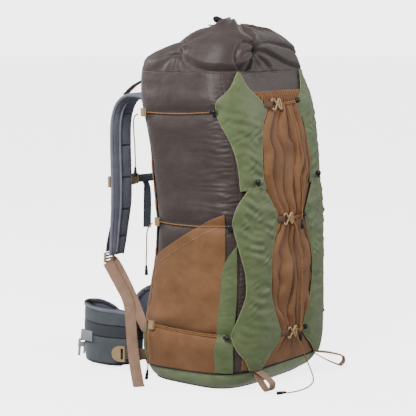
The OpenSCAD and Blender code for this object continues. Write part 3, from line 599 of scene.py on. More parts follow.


# ---------------------------------------------------------------- base
# A tub of green nylon under the bag: the floor and a low wall, with corded piping in the seam
# above it. A thin dark ring of the same cord runs along its bottom edge, drawn as the dark line
# there.
GREEN_SATIN = woven("satin_nylon_green", "#4d5a37", "#76835a", 1.8, 0.06, roughness=0.52,
                    sheen=0.3, mottle=26, Specular_IOR_Level=0.35)
# The tub is the same cloth, painted lighter as the light that the pale floor throws up on it
GREEN_TUB_PAINTED_LIGHT = woven("satin_nylon_green_tub_painted_light", "#66744c", "#94a276", 1.8, 0.06, roughness=0.42,
                   sheen=0.3, mottle=26, Specular_IOR_Level=0.5)
PIPING = woven("corded_piping_black", "#151414", "#242220", 2, 0.2, roughness=0.6)
FLOOR_SHARE = 0.45


def base_place(u, v):
    a = 360 * u
    rise = np.clip((v - FLOOR_SHARE) / (1 - FLOOR_SHARE), 0, 1)
    z = base_seam(a) * rise
    wrinkle = 1.0 * closing(a, lambda s: cloth_noise(s / 40, z / 14, 21)) * step_up(z, 2, 14) * (
        1 - step_up(rise, 0.8, 1))
    points = skin(z, a, wrinkle + 0.3)
    reach = np.clip(v / FLOOR_SHARE, 0, 1)
    points[:, :2] = np.array([0, 20]) + (points[:, :2] - np.array([0, 20])) * reach[:, None]
    points[:, 2] = np.maximum(points[:, 2], 0.4)
    return points, np.stack([around(a), v * 330], -1)


laid_cloth("base_tub", 240, 36, base_place, GREEN_TUB_PAINTED_LIGHT, ["base_panel"],
           closed=True)
ring_bearings = np.arange(0, 360, 3.0)
for name, ring, slot, nodes in (
        ("base_piping_cord", skin(base_seam(ring_bearings), ring_bearings, 1.2), "black_piping",
         ["base_piping"]),
        # a thin dark ring along the bottom edge, drawn as the dark line there; no CAD part stands
        # for it
        ("bottom_edge_dark_ring", skin(np.full(120, 3.2), ring_bearings, 0.6), "black_piping", [])):
    piping = cord_curve(name, [ring], 1.5, PIPING)
    piping.data.splines[0].use_cyclic_u = True
    fitted(piping, "pack", nodes)

# ---------------------------------------------------------------- side pockets and bands
# Stretch-woven nylon, brown and matt, sewn over each flank from the base up to a sloping mouth
# with a wide turned hem. A green band covers its front seam.
BROWN_STRETCH = woven("stretch_nylon_brown", "#6c4728", "#956843", 3, 0.12, (1, 1.4),
                      roughness=0.72, sheen=0.2, mottle=34)
THREAD_PALE = woven("polyester_thread_pale", "#b9a48c", "#d5c6b2", 1, 0.05)
POCKET_OFF = 3.2
BAND_BACK, BAND_FRONT, BAND_TOP = 206, 217, 330
HEM = 22


def pocket_mouth(a):
    return 394 - 118 * (np.maximum(211 - a, 0) / 64) ** 1.25


def side_pocket_bulge(z, a):
    """The pocket stands off a little, is pressed in by the low cord, and folds over it."""
    low = 129 + (a - 155) * (-1 / 57.5)
    off = 4.5 * np.sin(np.pi * np.clip((z - 132) / 190, 0, 1)) * np.sin(
        np.pi * np.clip((a - 146) / 62, 0, 1))
    off += 5 * hump(z, low + 20, 13) * (1 - step_up(a, 158, 185)) - 3 * hump(z, low, 5)
    s = around(a)
    off += 0.9 * cloth_noise(s / 34, z / 26, 31) + 0.5 * cloth_noise((s + z) / 16, (z - s) / 30, 32)
    off += 1.2 * hump(z, low + 8, 30) * np.sin((z - 0.35 * s) / 7) * step_up(a, 170, 200)
    return off * step_up(z, 30, 60) * (1 - 0.8 * step_up(z, pocket_mouth(a) - HEM,
                                                         pocket_mouth(a)))


def side_pocket_place(left):
    def place(u, v):
        a = SIDE_FROM + 0.6 + (BAND_BACK + 1.5 - SIDE_FROM - 0.6) * u
        foot = base_seam(a) + 1.5
        z = foot + (pocket_mouth(a) - foot) * v
        hem = 0.8 * step_up(z, pocket_mouth(a) - HEM - 1.5, pocket_mouth(a) - HEM + 1.5)
        off = POCKET_OFF + hem + side_pocket_bulge(z, a)
        turn = a if left else 180 - a
        return skin(z, turn, off + broad_stuffing(z, turn % 360)), np.stack([around(a), z], -1)
    return place


def band_place(left):
    def place(u, v):
        z = 46 + (BAND_TOP - 46) * v
        back = BAND_BACK + 9.5 * np.clip((z - 268) / 62, 0, 1) ** 1.7
        a = back + (BAND_FRONT - 3 * (z / BAND_TOP) ** 2 - back) * u
        off = POCKET_OFF + 1.6 + 0.9 * cloth_noise(around(a) / 15, z / 8, 41) * np.sin(np.pi * u)
        off = off + 1.3 * np.sin(np.pi * u)
        turn = a if left else 180 - a
        return skin(z, turn, off + broad_stuffing(z, turn % 360)), np.stack([around(a), z], -1)
    return place


def mirrored_faces(piece):
    """Turns the faces of a piece laid out in mirror image back outwards."""
    piece.data.flip_normals()
    return piece


def stitches(name, line, finish, body="pack", step=3.6, share=0.6, radius=0.45):
    """A sewn line: short raised threads, one after the other, along points in millimetres."""
    line = np.array(line)
    run = np.concatenate([[0], np.cumsum(np.linalg.norm(np.diff(line, axis=0), axis=1))])
    starts = np.arange(step / 2, run[-1] - step, step)
    threads = [np.stack([np.interp([t, t + step * share / 2, t + step * share], run, line[:, k])
                         for k in range(3)], -1) for t in starts]
    sewn = cord_curve(name, threads, radius, finish)
    sewn.data.bevel_resolution = 0
    return fitted(sewn, body)


for side, left in (("left", True), ("right", False)):
    pocket = laid_cloth("stretch_pocket_" + side, 84, 130, side_pocket_place(left), BROWN_STRETCH,
                        ["side_pocket_" + side], thick=1.6)
    band = laid_cloth("green_band_" + side, 16, 110, band_place(left), GREEN_SATIN,
                      ["side_bands"], thick=1.2)
    if not left:
        mirrored_faces(pocket)
        mirrored_faces(band)
    seam_a = np.linspace(150, 204, 90)
    seam_z = pocket_mouth(seam_a) - HEM
    lift = POCKET_OFF + 0.75 + side_pocket_bulge(seam_z, seam_a)
    turn = seam_a if left else 180 - seam_a
    stitches("hem_stitching_" + side, skin(seam_z, turn, lift + broad_stuffing(seam_z, turn % 360)),
             THREAD_PALE)

# Brown cloth binds the bag's back corners above the belt, and green cloth below it
for side, sign in (("left", 1), ("right", -1)):
    for name, low, high, finish, slot in (
            ("back_corner_brown_", 128, 545, BROWN_STRETCH, "brown_stretch"),
            ("back_corner_green_", 34, 126, GREEN_SATIN, "green_nylon")):
        def corner_place(u, v):
            z = low + (high - low) * v
            wide = 9 * (1 - 0.75 * step_up(z, 470, 545))
            a = 148 - wide + (wide + 0.6) * u
            turn = a if sign > 0 else 180 - a
            off = 2.2 + 0.8 * cloth_noise(around(a) / 16, z / 18, 51) + 3.2 * hump(u, 0.75, 0.4)
            off = off * (1 - 0.9 * step_up(z, 450, 545))
            return skin(z, turn, off + broad_stuffing(z, turn % 360)), np.stack(
                [around(a), z], -1)
        strip = laid_cloth(name + side, 10, 90, corner_place, finish, thick=1.2)
        if sign < 0:
            mirrored_faces(strip)

# ---------------------------------------------------------------- front pocket
# A tall pocket of the same stretch cloth, cut wider than the bag's front. Three short cords draw
# it into upright folds between the wings, and its mouth is gathered on elastic.
POCKET_LOW, POCKET_TOP = 50, 646
PINCHES = (117, 371, 617)


def inner_edge(z):
    """Bearing of the left wings' inner edge at height z."""
    return np.interp(z, WING_EDGES[:, 0], WING_EDGES[:, 2])


def front_folds(z, a):
    left = inner_edge(z)
    w = (a - left) / (540 - 2 * left)
    loose = np.where(z < 371, np.sin(np.pi * np.clip((z - 117) / 254, 0, 1)),
                     np.sin(np.pi * np.clip((z - 371) / 246, 0, 1)))
    low = step_up(z, 52, 112)
    drift = (0.95 * cloth_noise(w * 2.1 + 4, z / 105, 61)
             + 0.30 * cloth_noise(w * 4 + 1, z / 48, 62))
    phase = 5.2 * w + drift
    fold = np.abs(np.sin(np.pi * phase)) ** 0.62
    tall = 0.8 + 0.9 * cloth_noise(np.floor(phase) * 7.3 + 0.37, z / 110, 63)
    fine = np.abs(np.sin(np.pi * (19 * w + 2 * drift))) * (1 - loose) * 1.2
    visible = step_up(w, -0.05, 0.06) * (1 - step_up(w, 0.94, 1.05))
    off = visible * low * (fold * tall * (7.0 + 7.0 * loose) + fine)
    off += 3.0 * visible * np.sqrt(loose) * np.sin(np.pi * np.clip(w, 0, 1))
    off += 0.8 * cloth_noise(around(a) / 22, z / 40, 64) * visible
    off -= 2.2 * visible * sum(hump(z, p, 7) for p in PINCHES[:2])
    hem = step_up(z, 612, 622)
    gather = 3.0 * np.sin(2 * np.pi * (around(a) / 7.2 + 0.5 * cloth_noise(
        around(a) / 30, z / 200, 65))) * (1 - 0.5 * hump(z, 643, 4))
    return off * (1 - hem) + hem * visible * (4.2 + gather - 1.6 * hump(z, 619, 3))


def front_pocket_place(u, v):
    z = POCKET_LOW + (POCKET_TOP - POCKET_LOW) * v
    a = POCKET_LEFT + (POCKET_RIGHT - POCKET_LEFT) * u
    return (skin(z, a, POCKET_OFF - 1.2 + broad_stuffing(z, a) + front_folds(z, a)),
            np.stack([around(a), z], -1))


gathered = laid_cloth("gathered_front_pocket", 190, 230, front_pocket_place, BROWN_STRETCH,
                      ["front_pocket"], thick=1.6)

# ---------------------------------------------------------------- front wings
# Two pieces of green satin-faced nylon on each front corner, cut to points where the cords pull
# on them, with a turned and piped edge. The lower one is sewn over the upper one at the waist.
# The piping is the same green cloth, painted lighter: a painted highlight along its rolled edge
GREEN_EDGE_PAINTED_HIGHLIGHT = woven("satin_nylon_edge_painted_highlight", "#6f7d52", "#98a57c", 2, 0.1, roughness=0.42, sheen=0.3)
WING_OFF = {"upper": 6.0, "lower": 7.2}


def wing_folds(z, a, u, seed):
    """Soft creases that run across the wing and fan out from the corded points."""
    s = around(a)
    strength = 0.5 + 0.5 * step_up(z, 150, 220) * (1 - step_up(z, 560, 610))
    bend = 13 * cloth_noise(s / 58, z / 66, seed + 3)
    long_folds = np.sin(2 * np.pi * (z + 0.38 * s + bend) / 25)
    cross_folds = np.sin(2 * np.pi * (z - 0.62 * s - bend) / 17)
    off = 2.3 * (0.35 + 0.9 * cloth_noise(s / 34, z / 42, seed)) * long_folds
    off += 1.6 * np.maximum(cloth_noise(s / 28, z / 30, seed + 1), 0) * cross_folds
    off += 1.4 * cloth_noise(s / 45, z / 38, seed + 2)
    inside = np.clip(np.minimum(u, 1 - u) * 6, 0, 1)
    return off * strength * (0.15 + 0.85 * inside) + 3.0 * np.sqrt(np.sin(np.pi * np.clip(
        u, 0.0, 1.0)))


def wing_off(which, z, a, u):
    seed = 71 if which == "upper" else 81
    return WING_OFF[which] + broad_stuffing(z, a) + wing_folds(z, to_left(a), u, seed)


def wing_place(which, outline, left):
    line = smooth_run(outline)

    def place(u, v):
        z, outer, inner = (np.interp(v, np.linspace(0, 1, len(line)), line[:, k])
                           for k in range(3))
        a = outer + (inner - outer) * u
        turn = a if left else (180 - a) % 360
        return skin(z, turn, wing_off(which, z, turn, u)), np.stack([around(a), z], -1)
    return place


def wing_rim(which, outline, left):
    """The wing's edge, up its outer side and down its inner side."""
    line = smooth_run(outline)
    z = np.concatenate([line[:, 0], line[::-1, 0]])
    a = np.concatenate([line[:, 1], line[::-1, 2]])
    u = np.concatenate([np.zeros(len(line)), np.ones(len(line))])
    turn = a if left else (180 - a) % 360
    return skin(z, turn, wing_off(which, z, turn, u) - 0.3)


for side, left in (("left", True), ("right", False)):
    for which, outline in (("upper", UPPER_WING), ("lower", LOWER_WING)):
        wing = laid_cloth(f"{which}_wing_{side}", 44, 200, wing_place(which, outline, left),
                          GREEN_SATIN, ["front_wing_" + side], thick=1.6)
        if not left:
            mirrored_faces(wing)
        rim = cord_curve(f"{which}_wing_piping_{side}", [wing_rim(which, outline, left)], 1.2,
                         GREEN_EDGE_PAINTED_HIGHLIGHT)
        rim.data.splines[0].use_cyclic_u = True
        fitted(rim, "pack")


# ---------------------------------------------------------------- back and lumbar pads
# Closed-cell foam under brushed cloth, sewn down round the edge and along channels. Each pad
# starts a little inside its solid and is blown up with the sewn lines held, so that the panels
# between them crown slightly. The foam is firm, so it takes a high pressure to move it.
def settle(piece):
    """Makes what the modifiers give the piece's own mesh."""
    seen = piece.evaluated_get(bpy.context.evaluated_depsgraph_get())
    data = bpy.data.meshes.new_from_object(seen)
    piece.modifiers.clear()
    piece.data = data
    return piece


def points_of(data):
    places = np.empty(len(data.vertices) * 3)
    data.vertices.foreach_get("co", places)
    return places.reshape(-1, 3)


def blown_pad(name, node, held, cap, voxel=4.5, shrink=1.2, pressure=80.0):
    """A pad from its CAD solid: made a little smaller, remeshed, blown up with the points where
    held(points in mm) is true kept still, and no point moved further than cap millimetres."""
    bm = bmesh.new()
    bm.from_mesh(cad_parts[node].data)
    bmesh.ops.remove_doubles(bm, verts=bm.verts, dist=0.02 * MM)
    bm.normal_update()
    for vert in bm.verts:
        vert.co -= vert.normal * shrink * MM
    piece = in_scene(name, mesh_of(name, bm))
    remesh = piece.modifiers.new("remesh", "REMESH")
    remesh.mode = "VOXEL"
    remesh.voxel_size = voxel * MM
    settle(piece)
    rest = points_of(piece.data)
    sewn = piece.vertex_groups.new(name="sewn")
    sewn.add([int(i) for i in np.flatnonzero(held(rest / MM))], 1.0, "REPLACE")
    cloth = piece.modifiers.new("cloth", "CLOTH")
    cloth.settings.vertex_group_mass = "sewn"
    cloth.settings.use_pressure = True
    cloth.settings.uniform_pressure_force = pressure
    cloth.settings.effector_weights.gravity = 0
    cloth.settings.quality = 4
    cloth.settings.mass = 0.05
    cloth.settings.tension_stiffness = cloth.settings.compression_stiffness = 5
    cloth.point_cache.frame_start = 1
    cloth.point_cache.frame_end = 20
    for moment in range(1, 21):
        bpy.context.scene.frame_set(moment)
    settle(piece)
    bpy.context.scene.frame_set(1)
    moved = points_of(piece.data) - rest
    far = np.linalg.norm(moved, axis=1, keepdims=True)
    places = rest + moved * np.minimum(1, cap * MM / np.maximum(far, 1e-9))
    piece.data.vertices.foreach_set("co", places.ravel())
    piece.vertex_groups.clear()
    smoother = piece.modifiers.new("soften", "SUBSURF")
    smoother.levels = smoother.render_levels = 1
    settle(piece)
    piece.data.shade_smooth()
    return piece


def mark(piece, name, values):
    """Stores a number at each point of the piece for its material to read."""
    attribute = piece.data.attributes.new(name, "FLOAT", "POINT")
    attribute.data.foreach_set("value", np.asarray(values, np.float32))


def in_other_hand(name, piece):
    """The same pad for the other side."""
    bm = bmesh.new()
    bm.from_mesh(piece.data)
    bmesh.ops.scale(bm, vec=(-1, 1, 1), verts=bm.verts)
    bmesh.ops.reverse_faces(bm, faces=bm.faces)
    data = mesh_of(name, bm)
    data.shade_smooth()
    data.materials.clear()
    return in_scene(name, data)


def pad_cloth(name, dark, light, seams=(), thread=2.6, lining=None, bands=(), seam_shade_half=0.012):
    """Brushed nylon over foam. Bands are other cloths, by the share of the pad's height where
    each starts. At each share in seams a near-black line is painted, as the shade in a sewn
    channel. The lining is the inner face.
    The nap is drawn at about 2 mm, coarser than the real one, so that it shows."""
    material, shader = new_finish(name, Roughness=0.8, Sheen_Weight=0.3, Sheen_Roughness=0.5)
    place = add_node(material, "ShaderNodeTexCoord").outputs["Object"]
    weave = add_node(material, "ShaderNodeTexVoronoi",
                     {"Vector": place, "Scale": 1 / (thread * MM)}).outputs["Distance"]
    patches = add_node(material, "ShaderNodeTexNoise", {
        "Vector": place, "Scale": 1 / (24 * MM), "Detail": 4}).outputs["Fac"]
    colour = colour_between(material, patches, dark, light)
    share = add_node(material, "ShaderNodeAttribute", attribute_name="height").outputs["Fac"]
    for start, end, shade in bands:
        above = add_node(material, "ShaderNodeMath", {0: share, 1: start},
                         operation="GREATER_THAN").outputs[0]
        below = add_node(material, "ShaderNodeMath", {0: share, 1: end},
                         operation="LESS_THAN").outputs[0]
        both = add_node(material, "ShaderNodeMath", {0: above, 1: below},
                        operation="MULTIPLY").outputs[0]
        colour = colour_between(material, both, colour, shade)
    for seam in seams:
        line = add_node(material, "ShaderNodeMath", {0: share, 1: seam, 2: seam_shade_half},
                        operation="COMPARE").outputs[0]
        # painted shade: a near-black line along each seam, where the sewn channel lies in shade
        colour = colour_between(material, line, colour, "#14151a")
    if lining:
        inner = add_node(material, "ShaderNodeAttribute", attribute_name="lining").outputs["Fac"]
        colour = colour_between(material, inner, colour, lining)
    colour_and_relief(material, shader, colour, weave, -0.25 * MM)
    return material


PAD_FINISH = pad_cloth("brushed_nylon_pad", "#5c5d6b", "#7e7f90")
SHOULDER_SEAMS = (0.20, 0.33, 0.46, 0.60, 0.74, 0.87)
# Near-black lines are painted along the cross seams, as the shade in their sewn channels
SHOULDER_CLOTH = pad_cloth("brushed_nylon_shoulder_seam_shade", "#5c5d6b", "#7e7f90", seams=SHOULDER_SEAMS,
                           seam_shade_half=0.004)
# Knitted binding is softer and paler than the brushed cloth that it holds
EDGE_BINDING = pad_cloth("knitted_edge_binding", "#686a78", "#8b8d9b", thread=1.8)


BACK_LOW, BACK_TOP, BACK_UPRIGHT, BACK_CHANNELS = 165, 560, 46, (264, 362, 460)
LUMBAR_LOW, LUMBAR_TOP = 38, 153
SIDE_EDGE = 0.92


def held_back(p):
    """The back pad is sewn round its edge and along two upright and three level channels."""
    x, z = p[:, 0], p[:, 2]
    channels = np.min([abs(z - level) for level in BACK_CHANNELS], axis=0) < 3
    return ((abs(z - BACK_LOW) < 5) | (abs(z - BACK_TOP) < 5) | (abs(abs(x) - BACK_UPRIGHT) < 3)
            | channels | (abs(x) > SIDE_EDGE * abs(x).max()))


def held_lumbar(p):
    """The lumbar pad is sewn round its edge and down its middle."""
    x, z = p[:, 0], p[:, 2]
    return ((abs(z - LUMBAR_LOW) < 4) | (abs(z - LUMBAR_TOP) < 4) | (abs(x) < 3)
            | (abs(x) > SIDE_EDGE * abs(x).max()))


for name, node, held in (("back_foam_pad", "back_pad", held_back),
                         ("lumbar_foam_pad", "lumbar_pad", held_lumbar)):
    pad = blown_pad(name, node, held, 6)
    pad.data.materials.append(PAD_FINISH)
    mark(pad, "height", np.full(len(pad.data.vertices), 0.5))
    fitted(pad, "pack", [node])

# ---------------------------------------------------------------- frame sheet and stay
# A white polyethylene sheet with one bent alloy bar behind it stiffens the back, under the wall.
POLYETHYLENE = moulded("moulded_polyethylene", "#c6c6c2", "#dcdcd8", 0.5)
BRUSHED_ALLOY, alloy_shader = new_finish("brushed_aluminium", Metallic=1.0, Roughness=0.35)
brushed = add_node(BRUSHED_ALLOY, "ShaderNodeTexNoise", {
    "Vector": add_node(BRUSHED_ALLOY, "ShaderNodeTexCoord").outputs["Object"],
    "Scale": 1 / (1.5 * MM)})
colour_and_relief(BRUSHED_ALLOY, alloy_shader, colour_between(
    BRUSHED_ALLOY, brushed.outputs["Fac"], "#a9abae", "#c9cbce"), brushed.outputs["Fac"],
    0.05 * MM)


def dress(node, finish):
    """Gives a CAD node its material."""
    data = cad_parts[node].data
    data.materials.clear()
    data.materials.append(finish)


dress("frame_sheet", POLYETHYLENE)
dress("frame_stay", BRUSHED_ALLOY)

# ---------------------------------------------------------------- drawcord and its lock
# The collar's mouth is drawn shut with the same elastic cord, held by a spring lock: a cup with
# a button that is pressed in to free the cord.
mouth_bearings = np.linspace(108, 452, 90)
fitted(cord_curve("mouth_drawcord", [skin(BAG_TOP - 1, mouth_bearings, 2.4)], CORD_D / 2, BRAID),
       "pack", ["collar_drawcord"])
dress("cord_lock_body", BLACK_ACETAL)
dress("cord_lock_button", BLACK_ACETAL)
dress("cord_lock_spring", BRUSHED_ALLOY)

# ---------------------------------------------------------------- hip belt
# Two foam wings hold the wearer's hips. Outside they are dark mesh between bands of slate
# nylon, with a bound top edge; inside is a pale brushed lining. Webbing sewn outside carries
# the buckle, and a strap from the bag's corner pulls on a half-round ring.
HIP_LINE = np.array([
    (-118, 182, 22, 118), (-140, 200, 12, 132), (-158, 228, 7, 139), (-166, 262, 5, 140),
    (-165, 298, 5, 142), (-150, 332, 6, 144), (-118, 352, 12, 142), (-76, 354, 24, 134),
    (-40, 348, 42, 116), (-22, 342, 62, 98)], float)
hip_run = smooth_run(HIP_LINE, 6)
hip_way = np.gradient(hip_run[:, :2], axis=0)
hip_way /= np.linalg.norm(hip_way, axis=1, keepdims=True)


def on_belt(p):
    """For points in mm: place along the wing, share of its height, and the way in to the body."""
    px, py = abs(p[:, 0]) * -1, p[:, 1]
    near = np.argmin((px[:, None] - hip_run[:, 0]) ** 2 + (py[:, None] - hip_run[:, 1]) ** 2,
                     axis=1)
    share = (p[:, 2] - hip_run[near, 2]) / (hip_run[near, 3] - hip_run[near, 2])
    way = hip_way[near]
    inwards = ((px - hip_run[near, 0]) * way[:, 1] - (py - hip_run[near, 1]) * way[:, 0])
    return near, share, inwards


BELT_SEAMS = (0.52, 0.73)


def held_belt(p):
    near, share, inwards = on_belt(p)
    outside = inwards < 0
    seams = outside & ((abs(share - BELT_SEAMS[0]) < 0.03) | (abs(share - BELT_SEAMS[1]) < 0.025)
                       | (abs(near - 14) < 1))
    lining = ~outside & (np.isin(near, (12, 13, 24, 25, 36, 37)) & (abs(share - 0.5) < 0.35))
    return seams | lining | (share < 0.03) | (share > 0.97)


# Near-black lines are painted along the belt's seams, as the shade in their sewn channels
HIP_CLOTH = pad_cloth("brushed_nylon_belt_seam_shade", "#454b50", "#5b6267", seams=BELT_SEAMS,
                      lining="#6f7380", bands=((0.53, 0.72, "#3a3e44"), (-1.0, 0.07, "#24262a")))
# Moulded fittings, in tan and pale grey, with a slight gloss that shows their edges
TAN_ACETAL = moulded("tan_acetal", "#a98d66", "#c4a77c", 0.42)
PALE_ACETAL = moulded("pale_grey_acetal", "#b9bec2", "#d3d6d8", 0.35)
left_wing = blown_pad("hip_foam_wing_left", "hip_wing_left", held_belt, 5, pressure=200.0)
right_wing = in_other_hand("hip_foam_wing_right", left_wing)
for side, pad in (("left", left_wing), ("right", right_wing)):
    near, share, inwards = on_belt(points_of(pad.data) / MM)
    mark(pad, "height", share)
    mark(pad, "lining", step_up(inwards, 1.5, 3.5) * (share < 0.93))
    pad.data.materials.append(HIP_CLOTH)
    fitted(pad, "hip_" + side, ["hip_wing_" + side])
    sign = -1 if side == "right" else 1
    # A rolled edge of knitted binding, whipped down with dark thread
    rolled = np.stack([hip_run[:, 0] * sign, hip_run[:, 1], hip_run[:, 3] - 3.0], -1)
    fitted(cord_curve("hip_wing_binding_" + side, [rolled], 6.2, EDGE_BINDING),
           "hip_" + side)
    whips = []
    for point, way in zip(smooth_run(rolled, 2)[2:-2], smooth_run(hip_way, 2)[2:-2]):
        over = np.array([way[1] * sign, -way[0], 0])
        slope = np.array([way[0] * sign, way[1], 0]) * 1.4
        whips.append([point + 6.5 * (math.cos(t) * over + math.sin(t) * np.array([0, 0, 1]))
                      + slope * (t / 1.6 - 1) for t in (-0.5, 0.1, 0.7, 1.3, 1.9, 2.5)])
    sewn = cord_curve("hip_whip_stitches_" + side, whips, 0.5, BLACK_ACETAL)
    sewn.data.bevel_resolution = 0
    fitted(sewn, "hip_" + side)


def webbing(name, route, width, across, finish, body=None, nodes=(), thick=1.6,
            hemmed=0, steps=5):
    """Flat woven webbing along a route in mm, with its width along the vectors across, one or
    one for each route point. Its end may be folded back and sewn as a thicker hem."""
    run = smooth_run(route, steps)
    way = np.gradient(run, axis=0)
    way /= np.linalg.norm(way, axis=1, keepdims=True)
    across = np.array(across, float)
    if across.ndim == 1:
        across = np.tile(across, (len(route), 1))
    wide = smooth_run(across, steps)
    wide -= (wide * way).sum(1, keepdims=True) * way
    wide /= np.linalg.norm(wide, axis=1, keepdims=True)
    out = np.cross(wide, way)
    length = np.concatenate([[0], np.cumsum(np.linalg.norm(np.diff(run, axis=0), axis=1))])
    section = [(-0.5, -0.25), (-0.47, -0.5), (0, -0.5), (0.47, -0.5), (0.5, -0.25), (0.5, 0.25),
               (0.47, 0.5), (0, 0.5), (-0.47, 0.5), (-0.5, 0.25), (-0.5, -0.25)]
    bm = bmesh.new()
    bmesh.ops.create_grid(bm, x_segments=len(section) - 1, y_segments=len(run) - 1, size=1)
    cloth = bm.loops.layers.uv.new("cloth")
    spots = {}
    for vert in bm.verts:
        i = round((vert.co.x + 1) / 2 * (len(section) - 1))
        j = round((vert.co.y + 1) / 2 * (len(run) - 1))
        spots[vert] = (i, j)
        fat = thick * (2 if length[-1] - length[j] < hemmed else 1)
        side, lift = section[i]
        vert.co = run[j] + wide[j] * side * width + out[j] * lift * fat
    for face in bm.faces:
        for loop in face.loops:
            i, j = spots[loop.vert]
            loop[cloth].uv = (section[i][0] * width * MM, length[j] * MM)
    bmesh.ops.remove_doubles(bm, verts=bm.verts, dist=0.001)
    bmesh.ops.holes_fill(bm, edges=[e for e in bm.edges if e.is_boundary])
    closed_up(bm)
    piece = finished(name, bm, finish, body, nodes)
    return piece


# Polyester webbing is woven flat with ribs along it, and is matt. Real ribs are 1 mm apart, and
# are drawn at 2 to 6 mm so that they show.
TAN_WEB = woven("polyester_webbing_tan", "#7d5e49", "#a88770", 2.2, 0.3, (2.6, 1),
                roughness=0.75, sheen=0.15)
BROWN_WEB = woven("polyester_webbing_brown", "#4a3424", "#6b4e39", 2.2, 0.3, (2.6, 1),
                  roughness=0.75)
GREY_WEB = woven("polyester_webbing_grey", "#363d43", "#525b62", 2.2, 0.3, (2.6, 1),
                 roughness=0.7)
PALE_WEB = woven("polyester_webbing_pale", "#8d949b", "#b0b6bb", 2.2, 0.3, (2.6, 1),
                 roughness=0.7)
WEB_W = 25
HIP_WEB = [(-175.5, 292, 72), (-168, 320, 70), (-156, 344, 67), (-138, 361, 62), (-123, 368, 57),
           (-118, 371, 50)]
STABILISER = [(-178, 112, 57), (-176, 126, 55), (-174, 150, 52), (-169.5, 176, 47),
              (-163.5, 203, 42)]
for side, sign in (("left", 1), ("right", -1)):
    flip = np.array([sign, 1, 1])
    webbing("hip_belt_webbing_" + side, np.array(HIP_WEB) * flip, WEB_W,
            [(0, -0.05 * i, 1) for i in range(6)], PALE_WEB, "hip_" + side,
            ["hip_webbing_" + side])
    strap = webbing("stabiliser_webbing_" + side, np.array(STABILISER) * flip, WEB_W, (0, 0, 1),
                    BROWN_WEB, None, ["stabiliser_strap_" + side])
    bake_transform(strap)
    dress("stabiliser_ring_" + side, TAN_ACETAL)
for node in ("hip_buckle_plug", "hip_buckle_socket"):
    dress(node, PALE_ACETAL)

# ---------------------------------------------------------------- shoulder harness
# Foam pads curve from the top of the back over the shoulders. Each has a bound edge, a raised
# spine and cross seams; grey webbing sewn down its outside ends at a ladder lock.
PAD_LINE = [
    (-62, 190, 618), (-66, 215, 628), (-70, 248, 628), (-74, 272, 608), (-78, 283, 570),
    (-83, 281, 515), (-86.5, 277, 470), (-90, 273, 415), (-92, 273, 370), (-94, 277, 325),
    (-95, 281, 285), (-96, 285, 256)]
pad_run = smooth_run(PAD_LINE, 24)
pad_way = np.gradient(pad_run, axis=0)
pad_way /= np.linalg.norm(pad_way, axis=1, keepdims=True)
pad_side = np.array([1.0, 0, 0]) - pad_way[:, :1] * pad_way
pad_side /= np.linalg.norm(pad_side, axis=1, keepdims=True)


def on_pad(p):
    """For points in mm: share of the way down the pad, and millimetres to its inner side."""
    p = p * np.array([np.sign(p[:, 0].mean()) * -1, 1, 1])
    near = np.argmin(((p[:, None, 1:] - pad_run[None, :, 1:]) ** 2).sum(-1), axis=1)
    aside = ((p - pad_run[near]) * pad_side[near]).sum(-1)
    return near / (len(pad_run) - 1), aside


def held_shoulder(p):
    down, aside = on_pad(p)
    seam = np.zeros(len(p), bool)
    for place in SHOULDER_SEAMS:
        seam |= (abs(down - place) < 0.008) & (aside > -4)
    return seam | (abs(aside + 6) < 2.4) | (abs(aside) > 25)


left_pad = blown_pad("shoulder_foam_pad_left", "shoulder_strap_left", held_shoulder, 5,
                     pressure=300.0)
right_pad = in_other_hand("shoulder_foam_pad_right", left_pad)
for side, pad in (("left", left_pad), ("right", right_pad)):
    down, aside = on_pad(points_of(pad.data) / MM)
    mark(pad, "height", np.where(aside > -9, down, -1))
    pad.data.materials.append(SHOULDER_CLOTH)
    fitted(pad, "harness", ["shoulder_strap_" + side])
    sign = np.array([1 if side == "left" else -1, 1, 1])
    share = np.linspace(0, 1, len(pad_run))
    half = 32 * np.where(share < 0.2, 0.72 + 1.4 * share,
                         np.where(share < 0.7, 1, 1 - 1.1 * (share - 0.7)))[:, None] - 1.5
    out = np.cross(pad_side, pad_way)
    out *= -np.sign(out[len(out) // 2, 1])
    edges = [(pad_run + pad_side * half * k) * sign for k in (-1, 1)]
    spine = (pad_run - pad_side * 9 + out * 6.6)[18:-9] * sign
    fitted(cord_curve("shoulder_edge_binding_" + side, edges, 4.4, EDGE_BINDING),
           "harness")
    fitted(cord_curve("shoulder_spine_" + side, [spine], 3.2, EDGE_BINDING),
           "harness")

PAD_WEB = [(-87.5, 286, 466), (-91, 282, 415), (-93.5, 283, 360), (-96, 294, 320), (-98, 302, 285),
           (-99, 305, 262)]
LIFTER = [(-70, 276, 630), (-70, 250, 650), (-70, 225, 662), (-70, 200, 672), (-70, 186, 679)]
LOWER_STRAP = [(-172, 117, 113), (-178, 129, 118), (-171.5, 144, 131), (-150, 186, 166),
               (-122, 242, 208), (-103, 284, 236), (-100.5, 300, 243)]
LOWER_ACROSS = [(0.1, -0.2, 1), (0.1, -0.2, 1), (0.3, -0.35, 0.8)] + [(0.57, -0.6, 0.56)] * 4
STRAP_TAIL = [
    (-113, 297, 238), (-122, 278, 226), (-132, 254, 209), (-143, 228, 191), (-154, 204, 174),
    (-165, 186, 157), (-175, 174, 137), (-183, 165, 115), (-190, 157, 92), (-198, 147, 68),
    (-207, 135, 45), (-217, 122, 25), (-227, 109, 10), (-237, 98, 3), (-245, 88, 2)]
TAIL_ACROSS = np.linspace((0.62, -0.59, 0.45), (0.62, -0.78, 0), len(STRAP_TAIL))
dress("ladder_locks", TAN_ACETAL)
